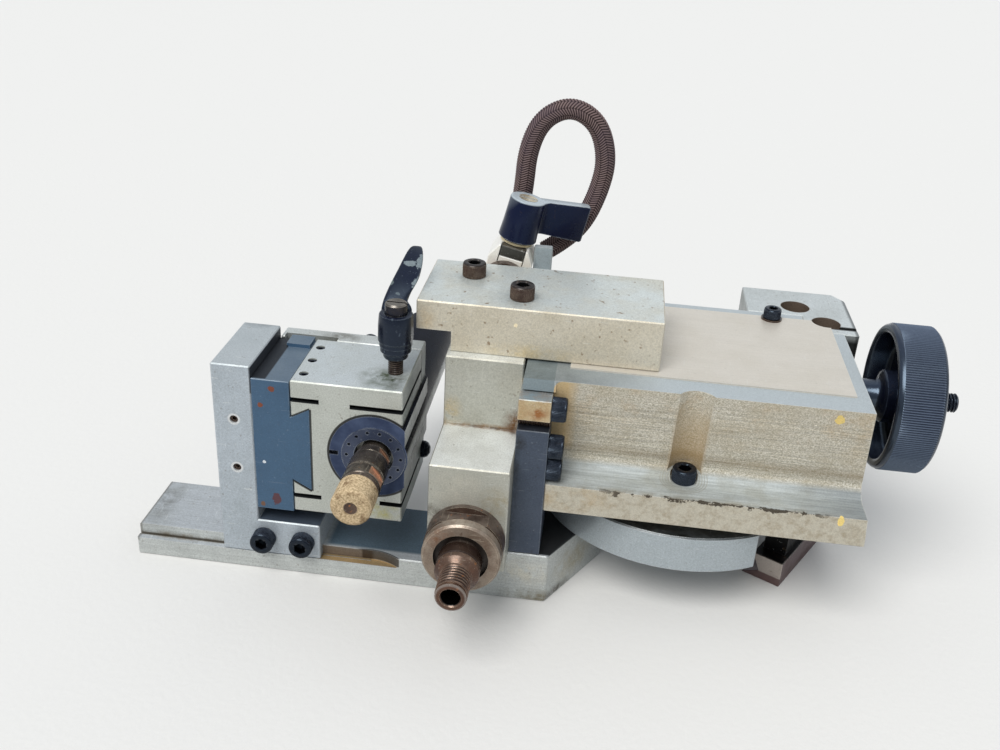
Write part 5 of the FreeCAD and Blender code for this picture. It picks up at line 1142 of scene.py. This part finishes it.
def makeHose():
    h = named(hoseLook)
    path = hosePath()
    rows, ridges = [], []
    side = None
    along = 0.0
    for k, point in enumerate(path):
        ahead = (path[min(k + 1, len(path) - 1)] - path[max(k - 1, 0)]).normalized()
        if side is None:
            side = ahead.cross(Vector((0, 1, 0))).normalized()
        else:
            along += (point - path[k - 1]).length / mm
        side = (side - ahead * side.dot(ahead)).normalized()
        over = ahead.cross(side)
        row = []
        for angle in allRound(h.around):
            zig = abs((angle * h.columns / (2 * math.pi) + 0.25) % 1 * 2 - 1)
            wave = 0.5 + 0.5 * math.cos(2 * math.pi * (along / h.pitch + zig * h.slant))
            seam = min(1.0, 0.4 + 5 * min(zig, 1 - zig))
            ridge = wave ** 0.8 * seam
            r = h.radius - h.ridge * (1 - ridge)
            row.append(point + (side * math.cos(angle) + over * math.sin(angle)) * r * mm)
            ridges.append(ridge)
        rows.append(row)
    hose = addMesh("hoseBraid", *skin(rows), braidFinish(), 180)
    mark(hose, "ridge", ridges)
    stand(hose, "air_hose", "feed")


makeHose()

# Finishes of the CAD nodes that stay

nodePaint = [
    (baseSteel, "base_bar"), (footSteel, "foot_bar"), (riserSteel, "foot_riser"), (housingFinish(), "housing_casting"),
    (plateSatin, "label_plate"), (rearSteel, "rear_clamp_block"), (armSteel, "arm"), (barSteel, "top_bar"),
    (bluedStrip, "guide_strip"), (blockRust, "side_block"), (wornRing, "nose_flange"), (bracketSteel, "angle_bracket"),
    (bluedSlide, "dovetail_slide"), (blockSteel, "spindle_block"), (rearPlateSteel, "rear_plate"),
    (sleeveFinish(), "motor_sleeve"), (pinRing, "pin_nut"), (slottedSteel, "lever_screw"), (stemSteel, "valve_stem"),
    (brightScrew, "valve_lever_screw"), (nickelBody, "valve_body", "valve_elbow"), (bronze, "feed_bush", "feed_nut"),
    (brownScrew, "label_washer", "bracket_set_screws"), (rustSteel, "valve_nipple", "nose_spindle", "stone_arbor"),
    (groundSteel, "pivot_pin", "guide_rods", "nose_bearings", "nose_nut", "rail_clamp", "spindle_bearings"),
    (blackScrew, "underside_screws", "slide_screws", "gib_screws", "plate_screws", "dome_screw"),
]
painted = 0
for material, *names in nodePaint:
    for name in names:
        mesh = cadNodes[name].data
        mesh.materials.clear()
        mesh.materials.append(material)
        painted += 1
print("CAD nodes painted:", painted)

# Floor, light and camera

stageLook = dict(floorSize=8.0, seen=tone(226, 225, 223), unseen=tone(172, 170, 166),
                 world=tone(228, 234, 240), worldStrength=0.6)
cameraLook = dict(place=(247.35, -464.9, 375), yaw=5.569, pitch=26.898, roll=3.391, lens=37.785)


def makeStage():
    s = named(stageLook)
    half = s.floorSize / 2
    corners = [Vector((x, y, 0)) for x, y in ((-half, -half), (half, -half), (half, half), (-half, half))]
    g = Graph("floorPale")
    ray = g.node("LightPath")
    shown = g.calc("MAXIMUM", ray.outputs["Is Camera Ray"],
                   g.calc("MAXIMUM", ray.outputs["Is Glossy Ray"], ray.outputs["Is Transmission Ray"]))
    paint = g.finish(g.paint(s.unseen, shown, s.seen), 0.9, g.bump(g.grain(260, 2.0, 0.5), 0.2 * mm), 0.0, 0.1)
    addMesh("floor", corners, [(0, 1, 2, 3)], paint)
    world = bpy.data.worlds.new("softRoom")
    world.use_nodes = True
    bpy.context.scene.world = world
    back = world.node_tree.nodes["Background"]
    back.inputs["Color"].default_value = s.world
    back.inputs["Strength"].default_value = s.worldStrength


lampLook = dict(
    key=dict(place=(-0.35, -0.75, 1.15), softness=38, power=2.35, colour=(1.0, 0.985, 0.955)),
    fill=dict(place=(0.6, 0.8, 0.8), softness=80, power=0.42, colour=(0.96, 0.98, 1.0)),
)


def makeLamps():
    for name, values in lampLook.items():
        look = named(values)
        lamp = bpy.data.lights.new(name, "SUN")
        lamp.energy = look.power
        lamp.angle = math.radians(look.softness)
        lamp.color = look.colour
        holder = addObject(name, lamp)
        holder.location = look.place
        holder.rotation_euler = (-Vector(look.place)).to_track_quat("-Z", "Y").to_euler()


def makeCamera():
    c = named(cameraLook)
    camera = bpy.data.cameras.new("camera")
    camera.lens = c.lens
    camera.sensor_width = 36
    camera.clip_start = 0.01
    holder = addObject("camera", camera)
    turn = (Matrix.Rotation(math.radians(c.yaw), 4, "Z")
            @ Matrix.Rotation(math.radians(90 - c.pitch), 4, "X")
            @ Matrix.Rotation(math.radians(c.roll), 4, "Z"))
    holder.matrix_world = Matrix.Translation(spot(*c.place)) @ turn
    bpy.context.scene.camera = holder


makeStage()
makeLamps()
makeCamera()
bpy.context.scene.view_settings.view_transform = "Standard"
print("stage ready")
